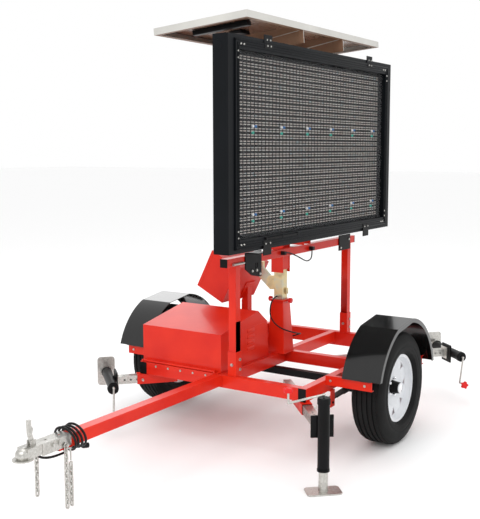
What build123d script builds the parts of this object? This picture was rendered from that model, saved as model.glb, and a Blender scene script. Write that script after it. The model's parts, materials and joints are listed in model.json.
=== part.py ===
from build123d import *
import math
import os

# Full-matrix sign trailer. Millimetres.
# Working frame: X runs rearwards from the axle, Y to the right-hand (kerb) side, Z up from the ground.
# At the end everything moves so that the origin is the bottom centre of the overall box.

# ---------------------------------------------------------------- driving dimensions
# frame
FRAME_TOP = 440.0
FRAME_HALF_W = 607.0
FRAME_FRONT = -632.0
FRAME_REAR = 914.0
RAIL_W = 50.8
RAIL_H = 76.2
WALL = 4.0
REAR_CROSS_H = 101.6
REAR_DEEP_HALF = 500.0
MID_CROSS_X = 141.0
TONGUE_FRONT = -1990.0
TONGUE_SIZE = 63.5
CAP_T = 4.0
TOUCH = 0.3          # seating gap between pieces of different bodies

# running gear
WHEEL_Z = 345.0
TYRE_R = 345.0
TYRE_W = 205.0
RIM_R = 207.0
RIM_W = 150.0
WHEEL_Y = 835.0
AXLE_SIZE = 44.5
AXLE_Z = 338.0
SPINDLE_R = 18.0
HUB_BORE_GAP = 0.08
SPRING_HALF = 320.0
FENDER_R = 432.0
FENDER_IN_Y = 722.0
FENDER_OUT_Y = 965.0
FENDER_T = 4.0
FENDER_LIP = 26.0
FENDER_END_Z = 474.0

# mast and lift
MAST_X = 105.0
BASE_BOTTOM = 133.0
BASE_TOP = 92.0
BASE_H = 345.0
COLLAR_SIZE = 112.0
COLLAR_H = 14.0
SPIGOT_R = 31.0
SPIGOT_GAP = 0.1
POST_SIZE = 63.5
POST_WALL = 4.0
POST_TOP = 2300.0
LIFT = 910.0
SLEEVE_GAP = 0.5
SLEEVE_WALL = 8.5
SLEEVE_BOTTOM = 1000.0
SLEEVE_H = 390.0
CHEEK_T = 6.0
CHEEK_BOTTOM = 980.0
CHEEK_HALF = 45.0
ROD_R = 14.0
BARREL_GAP = 0.3

# display stand
STAND_Y = -95.4
UPRIGHT = 50.8
FRONT_UPRIGHT_X = -594.6
REAR_UPRIGHT_X = 888.0
BAR_FRONT = -705.0
BAR_REAR = 976.0
BAR_TOP = 1157.0
STAND_SOCKET_H = 150.0

# sign
SIGN_W = 2130.0
SIGN_H = 1188.0
SIGN_T = 100.0
SIGN_BOTTOM = 1218.5
SIGN_BACK = -201.5
SHEET = 3.0
DOOR_SIDE = 60.0
DOOR_TOP = 21.0
DOOR_GAP = 2.0
DOOR_BORDER = 70.0
DOOR_T = 26.0
LED_COLS = 6
LED_ROWS = 2
LED_W = 320.0
LED_H = 504.0
LED_T = 18.0
LED_FACE_Y = -250.0

# solar panel
PANEL_L = 1724.0
PANEL_W = 650.0
PANEL_T = 40.0
PANEL_X = 90.0
PANEL_Y = 23.0
PANEL_UNDER = 2482.0
PANEL_REST_TILT = -5.0
TILT_SHAFT_R = 10.0
TILT_SHAFT_Z = 2460.0
TILT_EYE_R = 20.0
BRACE_X = (-139.0, 392.0)
BRACE_H = 78.0
TILT_ARM_X = (-490.0, 700.0)

# battery box
BOX_FRONT = -600.0
BOX_REAR = -45.0
BOX_SIDE = 606.0
BOX_FRONT_H = 237.0
BOX_PEAK_X = -176.0
BOX_PEAK_H = 319.0
BOX_REAR_X = -67.0
BOX_SHEET = 3.0
TRAY_T = 4.0

# control console on its post
POST_X = 166.0
CONSOLE_Y = 310.0
CONSOLE_TILT = 27.0
CONSOLE_X0 = -100.0
CONSOLE_X1 = 300.0
CONSOLE_DEPTH = 231.0
CONSOLE_H = 277.0
CONSOLE_FOOT_Z = 766.0
LID_T = 24.0

# corner jacks
CORNER_X_FRONT = -650.0
CORNER_X_REAR = 930.0
CORNER_Y = 624.0
OUTRIGGER_ANGLE = 42.0
OUTRIGGER_Z = 331.0
SOCKET_SIZE = 63.5
SOCKET_L = 260.0
OUTRIGGER_SIZE = 50.8
OUTRIGGER_L = 940.0
OUTRIGGER_GAP = 0.4
JACK_REACH = {"front_left": 384.0, "front_right": 169.0, "rear_left": 287.0, "rear_right": 287.0}
JACK_TUBE_R = 31.75
JACK_BELOW = 215.0
JACK_ABOVE = 176.0
JACK_LEG_R = 25.0
JACK_LEG_GAP = 0.4
JACK_FOOT_L = 190.0
JACK_FOOT_W = 114.0
JACK_FOOT_T = 8.0
JACK_PLATE = (124.0, 120.0, 8.0)
JACK_RETRACTED = 250.0
CRANK_ARM = 190.0
CRANK_DROP = 37.0
CRANK_R = 6.0
CRANK_HANDLE = 60.0
KNOB_R = 27.0
KNOB_H = 24.0

# coupler
BALL_R = 25.4
BALL_GAP = 0.2
BALL_X = -2188.0
BALL_Z = 414.0
COUPLER_REAR = -1915.0
COUPLER_T = 5.0

# cords
MAST_CABLE_R = 4.5
SIGN_CABLE_R = 4.0
HARNESS_R = 6.0


# ---------------------------------------------------------------- helpers
def block(x0, x1, y0, y1, z0, z1):
    return Pos((x0 + x1) / 2, (y0 + y1) / 2, (z0 + z1) / 2) * Box(x1 - x0, y1 - y0, z1 - z0)


def rod(p, q, r):
    start = Vector(*p)
    axis = Vector(*q) - start
    place = Plane(origin=start, z_dir=axis)
    return place * Cylinder(r, axis.length, align=(Align.CENTER, Align.CENTER, Align.MIN))


def box_tube(x0, x1, y0, y1, z0, z1, wall, along):
    inner = {
        "x": block(x0 - 1, x1 + 1, y0 + wall, y1 - wall, z0 + wall, z1 - wall),
        "y": block(x0 + wall, x1 - wall, y0 - 1, y1 + 1, z0 + wall, z1 - wall),
        "z": block(x0 + wall, x1 - wall, y0 + wall, y1 - wall, z0 - 1, z1 + 1),
    }[along]
    return block(x0, x1, y0, y1, z0, z1) - inner


def plate_yz(points, x0, x1):
    # a plate cut to an outline in the Y-Z plane, between two X stations
    outline = Plane.YZ.offset(x0) * make_face(Polyline(*points, close=True))
    return extrude(outline, x1 - x0, dir=(1, 0, 0))


def plate_xz(points, y0, y1):
    outline = Plane(origin=(0, y0, 0), x_dir=(1, 0, 0), z_dir=(0, -1, 0)) * make_face(
        Polyline(*points, close=True))
    return extrude(outline, y1 - y0, dir=(0, 1, 0))


def solids(*pieces):
    found = []
    for piece in pieces:
        found += list(piece.solids())
    return found


def mirror_y(piece):
    return mirror(piece, about=Plane.XZ)


RAIL_BOTTOM = FRAME_TOP - RAIL_H
nodes = {}


# ---------------------------------------------------------------- frame
def make_frame():
    tongue_half = TONGUE_SIZE / 2
    nodes["drawbar"] = solids(box_tube(TONGUE_FRONT, FRAME_FRONT, -tongue_half, tongue_half,
                                       FRAME_TOP - TONGUE_SIZE, FRAME_TOP, WALL, "x"))
    inner_y = FRAME_HALF_W - RAIL_W
    rail = box_tube(FRAME_FRONT, FRAME_REAR, inner_y, FRAME_HALF_W, RAIL_BOTTOM, FRAME_TOP, WALL, "x")
    nodes["side_rails"] = solids(rail, mirror_y(rail))
    front = box_tube(FRAME_FRONT, FRAME_FRONT + RAIL_W, -inner_y, inner_y,
                     RAIL_BOTTOM, FRAME_TOP, WALL, "y")
    rear = box_tube(FRAME_REAR - RAIL_W, FRAME_REAR, -inner_y, inner_y,
                    RAIL_BOTTOM, FRAME_TOP, WALL, "y")
    rear += block(FRAME_REAR - RAIL_W, FRAME_REAR, -REAR_DEEP_HALF, REAR_DEEP_HALF,
                  FRAME_TOP - REAR_CROSS_H, RAIL_BOTTOM)
    half = RAIL_W / 2
    spine_front = box_tube(FRAME_FRONT + RAIL_W, MID_CROSS_X, -half, half,
                           RAIL_BOTTOM, FRAME_TOP, WALL, "x")
    mid = box_tube(MID_CROSS_X, MID_CROSS_X + RAIL_W, -inner_y, inner_y, RAIL_BOTTOM, FRAME_TOP, WALL, "y")
    spine_rear = box_tube(MID_CROSS_X + RAIL_W, FRAME_REAR - RAIL_W, -half, half,
                          RAIL_BOTTOM, FRAME_TOP, WALL, "x")
    nodes["cross_members"] = solids(front, rear, mid, spine_front, spine_rear)

    cap = block(FRAME_FRONT - CAP_T, FRAME_FRONT, inner_y, FRAME_HALF_W, RAIL_BOTTOM, FRAME_TOP)
    rear_cap = block(FRAME_REAR, FRAME_REAR + CAP_T, inner_y, FRAME_HALF_W, RAIL_BOTTOM, FRAME_TOP)
    bar_half = UPRIGHT / 2
    bar_caps = [block(x, x + CAP_T, STAND_Y - bar_half, STAND_Y + bar_half, BAR_TOP - UPRIGHT, BAR_TOP)
                for x in (BAR_FRONT - CAP_T, BAR_REAR)]
    nodes["end_caps"] = solids(cap, mirror_y(cap), rear_cap, mirror_y(rear_cap), *bar_caps)


def corner_place(name):
    # the local frame at a corner: X outwards along the outrigger, Z up
    end, side = name.split("_")
    sx = -1 if end == "front" else 1
    sy = -1 if side == "left" else 1
    x = CORNER_X_FRONT if end == "front" else CORNER_X_REAR
    heading = math.degrees(math.atan2(sy * math.sin(math.radians(OUTRIGGER_ANGLE)),
                                      sx * math.cos(math.radians(OUTRIGGER_ANGLE))))
    return Pos(x, sy * CORNER_Y, OUTRIGGER_Z) * Rot(0, 0, heading)


def make_sockets():
    half = SOCKET_SIZE / 2
    bore = OUTRIGGER_SIZE / 2 + OUTRIGGER_GAP
    sockets = []
    for name in JACK_REACH:
        tube = block(-SOCKET_L, 0, -half, half, -half, half) - block(
            -SOCKET_L - 1, 1, -bore, bore, -bore, bore)
        bolt_seat = block(-40, -24, half, half + 12, -8, 8)
        sockets.append(corner_place(name) * (tube + bolt_seat))
    nodes["outrigger_sockets"] = solids(*sockets)


def make_brackets():
    pieces = []
    # fender brackets: a channel standing out from the rail ahead of and behind each wheel
    for x0 in (-397.0, 369.0):
        channel = block(x0, x0 + 28, FRAME_HALF_W, 905, 412, 470)
        web = block(x0 + 4, x0 + 29, FRAME_HALF_W + 4, 906, 416, 466)
        pieces += [channel - web, mirror_y(channel - web)]
    # spring hangers under the rails
    rail_y = FRAME_HALF_W - RAIL_W / 2
    for x in (-SPRING_HALF, SPRING_HALF):
        hanger = block(x - 26, x + 26, rail_y - 36, rail_y + 36, 262, RAIL_BOTTOM)
        hanger -= block(x - 27, x + 27, rail_y - 32, rail_y + 32, 260, RAIL_BOTTOM - 4)
        hanger -= rod((x, rail_y - 60, 288), (x, rail_y + 60, 288), 7.1)
        pieces += [hanger, mirror_y(hanger)]
    # the console post stands on the middle cross member and carries a tilted saddle
    half = UPRIGHT / 2
    column = box_tube(POST_X - half, POST_X + half, CONSOLE_Y - half, CONSOLE_Y + half,
                      FRAME_TOP, CONSOLE_FOOT_Z - 14, WALL, "z")
    # its top is cut to the slope of the console's back, under a saddle plate
    t = math.radians(CONSOLE_TILT)
    rise = UPRIGHT / math.tan(t)
    wedge = plate_yz([(CONSOLE_Y - half, CONSOLE_FOOT_Z - 14), (CONSOLE_Y + half, CONSOLE_FOOT_Z - 14),
                      (CONSOLE_Y + half, CONSOLE_FOOT_Z - 4), (CONSOLE_Y - half, CONSOLE_FOOT_Z - 4 + rise)],
                     POST_X - half, POST_X + half)
    place = console_place()
    saddle = place * block(POST_X - 60, POST_X + 60, -130, -2, -6, 0)
    beyond = place * block(POST_X - 200, POST_X + 200, -400, 200, -6, 100)
    pieces += [column + (wedge - beyond), saddle]
    nodes["frame_brackets"] = solids(*pieces)


def console_place():
    # console frame: X along the trailer, Z out through the lid, minus Y up the back of the box
    t = math.radians(CONSOLE_TILT)
    return Plane(origin=(0, CONSOLE_Y + UPRIGHT / 2, CONSOLE_FOOT_Z), x_dir=(1, 0, 0),
                 z_dir=(0, math.cos(t), math.sin(t)))


def make_coupler():
    # a stamped coupler over the front of the drawbar, with a ball socket in its nose
    half = TONGUE_SIZE / 2 + COUPLER_T
    top = FRAME_TOP + COUPLER_T
    body = block(-2100, COUPLER_REAR, -half, half, 388, top)
    body -= block(-2101, COUPLER_REAR + 1, -TONGUE_SIZE / 2, TONGUE_SIZE / 2, 380, FRAME_TOP)
    nose_r = BALL_R + BALL_GAP + 9
    skirt = block(BALL_X, -2080, -nose_r, nose_r, BALL_Z - 18, top)
    dome = Pos(BALL_X, 0, BALL_Z) * Sphere(nose_r)
    dome -= block(BALL_X - 60, BALL_X + 60, -60, 60, BALL_Z - 60, BALL_Z - 18)
    flange = rod((BALL_X, 0, BALL_Z - 24), (BALL_X, 0, BALL_Z - 18), nose_r + 14)
    body = body + skirt + dome + flange
    ball = BALL_R + BALL_GAP
    body -= Pos(BALL_X, 0, BALL_Z) * Sphere(ball)
    body -= rod((BALL_X, 0, BALL_Z - 40), (BALL_X, 0, BALL_Z), ball)
    for x in (-2048.0, -1959.0):
        body -= rod((x, 0, 400), (x, 0, top + 5), 6.5)
    ears = block(-2150, -2118, -14, -8, top - 8, top + 26) + block(-2150, -2118, 8, 14, top - 8, top + 26)
    ears -= rod((LEVER_X, -30, LEVER_Z), (LEVER_X, 30, LEVER_Z), 5.1)
    nodes["coupler"] = solids(body + ears)
    pin = rod((LEVER_X, -16, LEVER_Z), (LEVER_X, 16, LEVER_Z), 5)
    lever = plate_xz([(-2146, 458), (-2126, 458), (-2126, 476), (-2134, 500), (-2126, 520),
                      (-2138, 540), (-2136, 566), (-2158, 568), (-2154, 500), (-2148, 476)], -7, 7)
    nodes["latch_lever"] = solids(lever + pin)


LEVER_X = -2136.0
LEVER_Z = 462.0


def chain_links(x, y, z_top, count):
    # short-link chain hanging straight down, links turned a quarter turn each time
    links = []
    pitch = 26.0
    for i in range(count):
        z = z_top - i * pitch
        link = Pos(x, y, z) * Rot(0, 0, 90 * (i % 2)) * chain_link()
        links.append(link)
    return links


def chain_link():
    # one closed link standing upright, from two bars and two half rings
    bar_gap = 8.0
    wire = 3.4
    half = LINK_HALF
    bars = rod((-bar_gap, 0, -half), (-bar_gap, 0, half), wire) + rod((bar_gap, 0, -half), (bar_gap, 0, half),
                                                                     wire)
    ring = Rot(90, 0, 0) * Torus(bar_gap, wire)
    top = Pos(0, 0, half) * ring - block(-40, 40, -40, 40, half - 40, half)
    bottom = Pos(0, 0, -half) * ring - block(-40, 40, -40, 40, -half, 40)
    return bars + top + bottom


# name, side, station and number of links
CHAINS = (("right_chain", 1, -2065.0, 9), ("left_chain", -1, -1960.0, 12))
CHAIN_Y = 44.0
CHAIN_PIN_Z = 401.5
CHAIN_PIN_R = 4.0
LINK_HALF = 9.5


def make_chains():
    for name, side, x, count in CHAINS:
        nodes[name] = solids(*chain_links(x, side * CHAIN_Y, CHAIN_PIN_Z - LINK_HALF, count))


def make_stand():
    half = UPRIGHT / 2
    y0 = STAND_Y - half
    y1 = STAND_Y + half
    bar = box_tube(BAR_FRONT, BAR_REAR, y0, y1, BAR_TOP - UPRIGHT, BAR_TOP, WALL, "x")
    pieces = [bar]
    for x in (FRONT_UPRIGHT_X, REAR_UPRIGHT_X):
        pieces.append(box_tube(x - half, x + half, y0, y1, FRAME_TOP, BAR_TOP - UPRIGHT, WALL, "z"))
        s = half + 5
        socket = block(x - s, x + s, STAND_Y - s, STAND_Y + s, FRAME_TOP, FRAME_TOP + STAND_SOCKET_H)
        pieces.append(socket - block(x - half, x + half, y0, y1, FRAME_TOP - 1,
                                     FRAME_TOP + STAND_SOCKET_H + 1))
    nodes["display_stand"] = solids(*pieces)

    # black cradle plates bolted to the near face of the bar
    face = y0
    front = plate_xz([(-523, 1178), (-523, 1078), (-452, 1034), (-376, 1018), (-342, 1018), (-342, 1178)],
                     face - 8, face)
    slots = block(-415, -405, face - 9, face + 1, 1075, 1105) + block(-395, -385, face - 9, face + 1, 1075, 1105)
    shelf = block(-500, -400, -205, face, 1170, 1178)
    front = front - slots + shelf
    rear = block(713, 888, face - 8, face, 1068, 1178)
    nodes["cradle_brackets"] = solids(front, rear)


def make_fasteners():
    pieces = []
    y0 = STAND_Y - UPRIGHT / 2 - 5
    for x in (FRONT_UPRIGHT_X, REAR_UPRIGHT_X):
        s = UPRIGHT / 2 + 5
        for z in (FRAME_TOP + 40, FRAME_TOP + 100):
            pieces.append(rod((x + 10, y0 - 7, z), (x + 10, y0, z), 9))
        pieces.append(rod((x - s - 7, STAND_Y, FRAME_TOP + 70), (x - s, STAND_Y, FRAME_TOP + 70), 9))
    # hinge leaf screws along the front cross member
    for i in range(5):
        y = 90 + 96.5 * i
        pieces.append(rod((FRAME_FRONT - TRAY_T - 5, y, 425), (FRAME_FRONT - TRAY_T, y, 425), 6))
    # coupler bolts
    edge = TONGUE_SIZE / 2 + COUPLER_T
    for x, z in ((-2032.0, 421.0), (-1995.0, 424.0)):
        for side in (-1, 1):
            pieces.append(rod((x, side * edge, z), (x, side * (edge + 10), z), 11))
    for name, side, x, count in CHAINS:
        pieces.append(rod((x, side * edge, CHAIN_PIN_Z), (x, side * 53, CHAIN_PIN_Z), CHAIN_PIN_R)
                      + rod((x, side * 53, CHAIN_PIN_Z), (x, side * 58, CHAIN_PIN_Z), 8))
    # cradle bolts and the travel pin
    face = STAND_Y - UPRIGHT / 2 - 8
    for x, z in ((-450.0, 1060.0), (-400.0, 1060.0), (-360.0, 1034.0), (735.0, 1088.0), (866.0, 1140.0)):
        pieces.append(rod((x, face - 6, z), (x, face, z), 8))
    pieces.append(rod((-656, STAND_Y - UPRIGHT / 2 - 8, 1120), (-540, STAND_Y - UPRIGHT / 2 - 8, 1120), 8))
    # clamp screws in the outrigger sockets
    for name in JACK_REACH:
        half = SOCKET_SIZE / 2
        pieces.append(corner_place(name) * rod((-32, half + 12, 0), (-32, half + 34, 0), 7))
    # fender bracket bolts
    for x in (-397.0, 369.0):
        for y in (640.0, 860.0):
            for side in (-1, 1):
                pieces.append(rod((x - 6, side * y, 441), (x, side * y, 441), 7))
    nodes["chassis_bolts"] = solids(*pieces)


# ---------------------------------------------------------------- running gear
def make_axle():
    half = AXLE_SIZE / 2
    end = WHEEL_Y - 105
    beam = block(-half, half, -end, end, AXLE_Z - half, AXLE_Z + half)
    for side in (-1, 1):
        beam += rod((0, side * (end - 5), WHEEL_Z), (0, side * (WHEEL_Y + 60), WHEEL_Z), SPINDLE_R)
    nodes["axle"] = solids(beam)

    # a three-leaf spring slung under the axle at each side, with its two eyes and U-bolts
    rail_y = FRAME_HALF_W - RAIL_W / 2
    seat = AXLE_Z - half
    leaves = []
    for i, reach in enumerate((SPRING_HALF, 230.0, 140.0)):
        top = seat - 7 * i
        drop = 18.0 * (reach / SPRING_HALF) ** 2
        outline = [(-reach, top - 7 - drop), (0, top - 7), (reach, top - 7 - drop),
                   (reach, top - drop), (0, top), (-reach, top - drop)]
        leaves.append(plate_xz(outline, rail_y - 22, rail_y + 22))
    pack = leaves[0] + leaves[1] + leaves[2]
    for x in (-SPRING_HALF, SPRING_HALF):
        eye = rod((x, rail_y - 22, 288), (x, rail_y + 22, 288), 16)
        pack = pack + eye
        pack -= rod((x, rail_y - 30, 288), (x, rail_y + 30, 288), 7.1)
    bolts = []
    for x in (-SPRING_HALF, SPRING_HALF):
        bolts.append(rod((x, rail_y - 42, 288), (x, rail_y + 42, 288), 7))
    plate = block(-50, 50, rail_y - 30, rail_y + 30, seat - 30, seat - 21)
    both = []
    for piece in [pack, plate] + bolts:
        both += [piece, mirror_y(piece)]
    nodes["leaf_springs"] = solids(*both)


def wheel(side):
    # everything is turned about the spindle, then set out along Y
    def turned(points):
        face = make_face(Polyline(*points, close=True))
        return revolve(face, axis=Axis.Y)

    w = TYRE_W / 2
    r = TYRE_R
    rw = RIM_W / 2
    seat = 0.2
    half = [(RIM_R - 14.5 + seat, rw - 20), (RIM_R - 11 + seat, rw - 4 - seat),
            (RIM_R + seat, rw - 4 - seat), (RIM_R + 3, rw + 4), (RIM_R + 20, w - 4), (RIM_R + 70, w),
            (r - 28, w - 10), (r - 6, w - 30), (r, w - 55)]
    inside = [(r - 14, 0), (r - 22, w - 40), (RIM_R + 22, w - 20), (RIM_R + 6, rw - 18)]
    back = [(x, -y) for x, y in half]
    tyre = turned(half + back[::-1] + [(x, -y) for x, y in inside[:0:-1]] + inside)
    bore = 42.0
    rim = turned([(RIM_R, rw), (RIM_R - 15, rw), (RIM_R - 19, rw - 20), (RIM_R - 30, rw - 40),
                  (RIM_R - 30, -20), (RIM_R - 19, -rw + 20), (RIM_R - 15, -rw), (RIM_R, -rw),
                  (RIM_R, -rw + 4), (RIM_R - 11, -rw + 4), (RIM_R - 14.5, -rw + 20), (RIM_R - 25, -20),
                  (RIM_R - 25, rw - 40), (RIM_R - 14.5, rw - 20), (RIM_R - 11, rw - 4), (RIM_R, rw - 4)])
    disc = turned([(bore, 18), (95, 18), (120, 34), (RIM_R - 29, 30), (RIM_R - 29, 36),
                   (118, 40), (93, 24), (bore, 24)])
    for i in range(8):
        disc -= Rot(0, 45 * i, 0) * plate_xz([(-26, 172), (26, 172), (0, 126)], 0, 60)
    rim = rim + disc
    hub_r = bore - 0.3
    bore_r = SPINDLE_R + HUB_BORE_GAP
    hub = turned([(bore_r, -45), (hub_r - 4, -45), (hub_r, 16), (68, 16), (68, 17.9), (hub_r, 17.9),
                  (hub_r - 6, 60), (hub_r - 8, 74), (bore_r, 74)])
    nuts = []
    for i in range(5):
        nuts.append(Rot(0, 72 * i, 0) * rod((57, 24.1, 0), (57, 42, 0), 10))
    cap = rod((0, 74, 0), (0, 84, 0), 30)
    pieces = [rim, hub, cap] + nuts
    place = Pos(0, WHEEL_Y, WHEEL_Z)
    placed_rim = [place * piece for piece in pieces]
    placed_tyre = [place * tyre]
    if side == "left":
        placed_rim = [mirror_y(piece) for piece in placed_rim]
        placed_tyre = [mirror_y(piece) for piece in placed_tyre]
    nodes[side + "_wheel"] = solids(*placed_rim)
    nodes[side + "_tyre"] = solids(*placed_tyre)


def fender_outline(r, front_x, front_z):
    # front leg, round shoulder, flat facet on top, round rear
    def at(degrees):
        a = math.radians(degrees)
        return (r * math.cos(a), WHEEL_Z + r * math.sin(a))

    front = Line((front_x, front_z), at(163))
    shoulder = ThreePointArc(at(163), at(138), at(113))
    facet = Line(at(113), at(83))
    back = ThreePointArc(at(83), at(47), at(12))
    base = Line(at(12), (front_x, front_z))
    return make_face([front, shoulder, facet, back, base])


def make_fenders():
    # the skin is what is left of the full outline once the inside and the open side are cut away
    def filled(inset, drop, y0, y1):
        face = fender_outline(FENDER_R - inset, -FENDER_R * 0.963 + inset, FENDER_END_Z - drop)
        plane = Plane(origin=(0, y0, 0), x_dir=(1, 0, 0), z_dir=(0, -1, 0))
        return extrude(plane * face, y1 - y0, dir=(0, 1, 0))

    shell = filled(0, 0, FENDER_IN_Y, FENDER_OUT_Y)
    shell -= filled(FENDER_T, 3, FENDER_IN_Y - 1, FENDER_OUT_Y - FENDER_T)
    shell -= filled(FENDER_LIP, 30, FENDER_IN_Y - 1, FENDER_OUT_Y + 1)
    shell -= block(-600, 600, 0, 1200, 300, FENDER_END_Z - 36)
    # feet under the skin, lying on the brackets
    front_foot = block(-FENDER_R * 0.963, -372, FENDER_IN_Y, 905, FENDER_END_Z - 4, FENDER_END_Z)
    rear_foot = block(369, 407.9, FENDER_IN_Y, 905, FENDER_END_Z - 4, FENDER_END_Z)
    right = solids(shell, front_foot, rear_foot)
    nodes["right_fender"] = right
    nodes["left_fender"] = [mirror_y(solid) for solid in right]


# ---------------------------------------------------------------- mast
def make_mast():
    z0 = FRAME_TOP
    z1 = FRAME_TOP + BASE_H
    body = loft([Pos(MAST_X, 0, z0) * Rectangle(BASE_BOTTOM, BASE_BOTTOM),
                 Pos(MAST_X, 0, z1) * Rectangle(BASE_TOP, BASE_TOP)])
    half = COLLAR_SIZE / 2
    body += block(MAST_X - half, MAST_X + half, -half, half, z1, z1 + COLLAR_H)
    bore = SPIGOT_R + SPIGOT_GAP
    body -= rod((MAST_X, 0, z0 + 8), (MAST_X, 0, z1 + COLLAR_H + 1), bore)
    knobs = []
    for side in (-1, 1):
        knobs.append(rod((MAST_X, side * half, z1 + 7), (MAST_X, side * (half + 12), z1 + 7), 5))
        knobs.append(rod((MAST_X, side * (half + 12), z1 + 7), (MAST_X, side * (half + 30), z1 + 7), 17))
    nodes["mast_base"] = solids(body, *knobs)

    collar_top = z1 + COLLAR_H
    p = POST_SIZE / 2
    inner = p - POST_WALL
    spigot_z = z0 + 8 + TOUCH
    post = rod((MAST_X, 0, spigot_z), (MAST_X, 0, collar_top + 1), SPIGOT_R)
    post += block(MAST_X - p, MAST_X + p, -p, p, collar_top + 0.5, POST_TOP)
    post -= block(MAST_X - inner, MAST_X + inner, -inner, inner, collar_top + 12, POST_TOP + 1)
    # gusset bracket on the back of the post, and the cable gland on its front
    arm = plate_yz([(p, 860), (75, 856), (150, 922), (186, 960), (186, 1040), (132, 1040), (132, 1000),
                    (80, 950), (p, 950)], MAST_X - 12, MAST_X + 12)
    gland = rod((MAST_X - p, 0, GLAND_Z), (MAST_X - p - GLAND_L, 0, GLAND_Z), GLAND_R)
    latch = block(MAST_X + 6, MAST_X + p, -p - 10, -p, collar_top + 32, collar_top + 72)
    nodes["mast_post"] = solids(post + arm + latch, gland)

    barrel = block(MAST_X - inner + BARREL_GAP, MAST_X + inner - BARREL_GAP, -inner + BARREL_GAP,
                   inner - BARREL_GAP, POST_TOP - LIFT - 70, POST_TOP - 2)
    barrel -= rod((MAST_X, 0, POST_TOP - LIFT - 60), (MAST_X, 0, POST_TOP), ROD_R + BARREL_GAP)
    nodes["lift_ram"] = solids(barrel)
    crown_z = POST_TOP + 10
    nodes["lift_rod"] = solids(rod((MAST_X, 0, POST_TOP - LIFT - 45), (MAST_X, 0, crown_z), ROD_R))

    # the carriage: a sleeve on the post, two cheek plates, a back beam, cross rails and a crown
    s_in = p + SLEEVE_GAP
    s_out = s_in + SLEEVE_WALL
    sleeve = block(MAST_X - s_out, MAST_X + s_out, -s_out, s_out, SLEEVE_BOTTOM, SLEEVE_BOTTOM + SLEEVE_H)
    cheeks = []
    over_bar = BAR_TOP + 18
    beam_front = SIGN_BACK
    beam_back = SIGN_BACK + 60
    for x in (MAST_X - s_out - CHEEK_T, MAST_X + s_out):
        cheeks.append(plate_yz([(-CHEEK_HALF, CHEEK_BOTTOM), (CHEEK_HALF, CHEEK_BOTTOM),
                                (CHEEK_HALF, SLEEVE_BOTTOM + SLEEVE_H), (beam_back, SLEEVE_BOTTOM + SLEEVE_H),
                                (beam_front, SLEEVE_BOTTOM + SLEEVE_H), (beam_front, over_bar),
                                (-CHEEK_HALF, over_bar)], x, x + CHEEK_T))
    beam = box_tube(MAST_X - 35, MAST_X + 35, beam_front, beam_back, SIGN_BOTTOM + 20, POST_TOP + 25, WALL,
                    "z")
    rails = []
    for z in (SIGN_BOTTOM + 110, SIGN_BOTTOM + SIGN_H - 190):
        rails.append(block(MAST_X - 800, MAST_X + 800, beam_front, beam_front + 25, z, z + 50))
    crown = block(MAST_X - 35, MAST_X + 35, beam_back - 5, 40, crown_z, crown_z + 15)
    carriage = sleeve + cheeks[0] + cheeks[1] + beam + rails[0] + rails[1] + crown
    carriage -= block(MAST_X - s_in, MAST_X + s_in, -s_in, s_in, SLEEVE_BOTTOM - 50,
                      SLEEVE_BOTTOM + SLEEVE_H + 1)
    nodes["lift_carriage"] = solids(carriage)


GLAND_Z = 820.0
GLAND_L = 14.0
GLAND_R = 10.0


# ---------------------------------------------------------------- sign
SIGN_X0 = MAST_X - SIGN_W / 2
SIGN_X1 = MAST_X + SIGN_W / 2
SIGN_TOP = SIGN_BOTTOM + SIGN_H
SIGN_FACE = SIGN_BACK - SIGN_T
DOOR_Z1 = SIGN_TOP - DOOR_TOP
DOOR_Z0 = SIGN_BOTTOM + DOOR_TOP
DOOR_X0 = SIGN_X0 + DOOR_SIDE
DOOR_X1 = SIGN_X1 - DOOR_SIDE
DOOR_FACE = SIGN_FACE - 6.0
HINGE_X = (-558.0, 793.0)
LATCH_X = (-572.0, 760.0)


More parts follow.
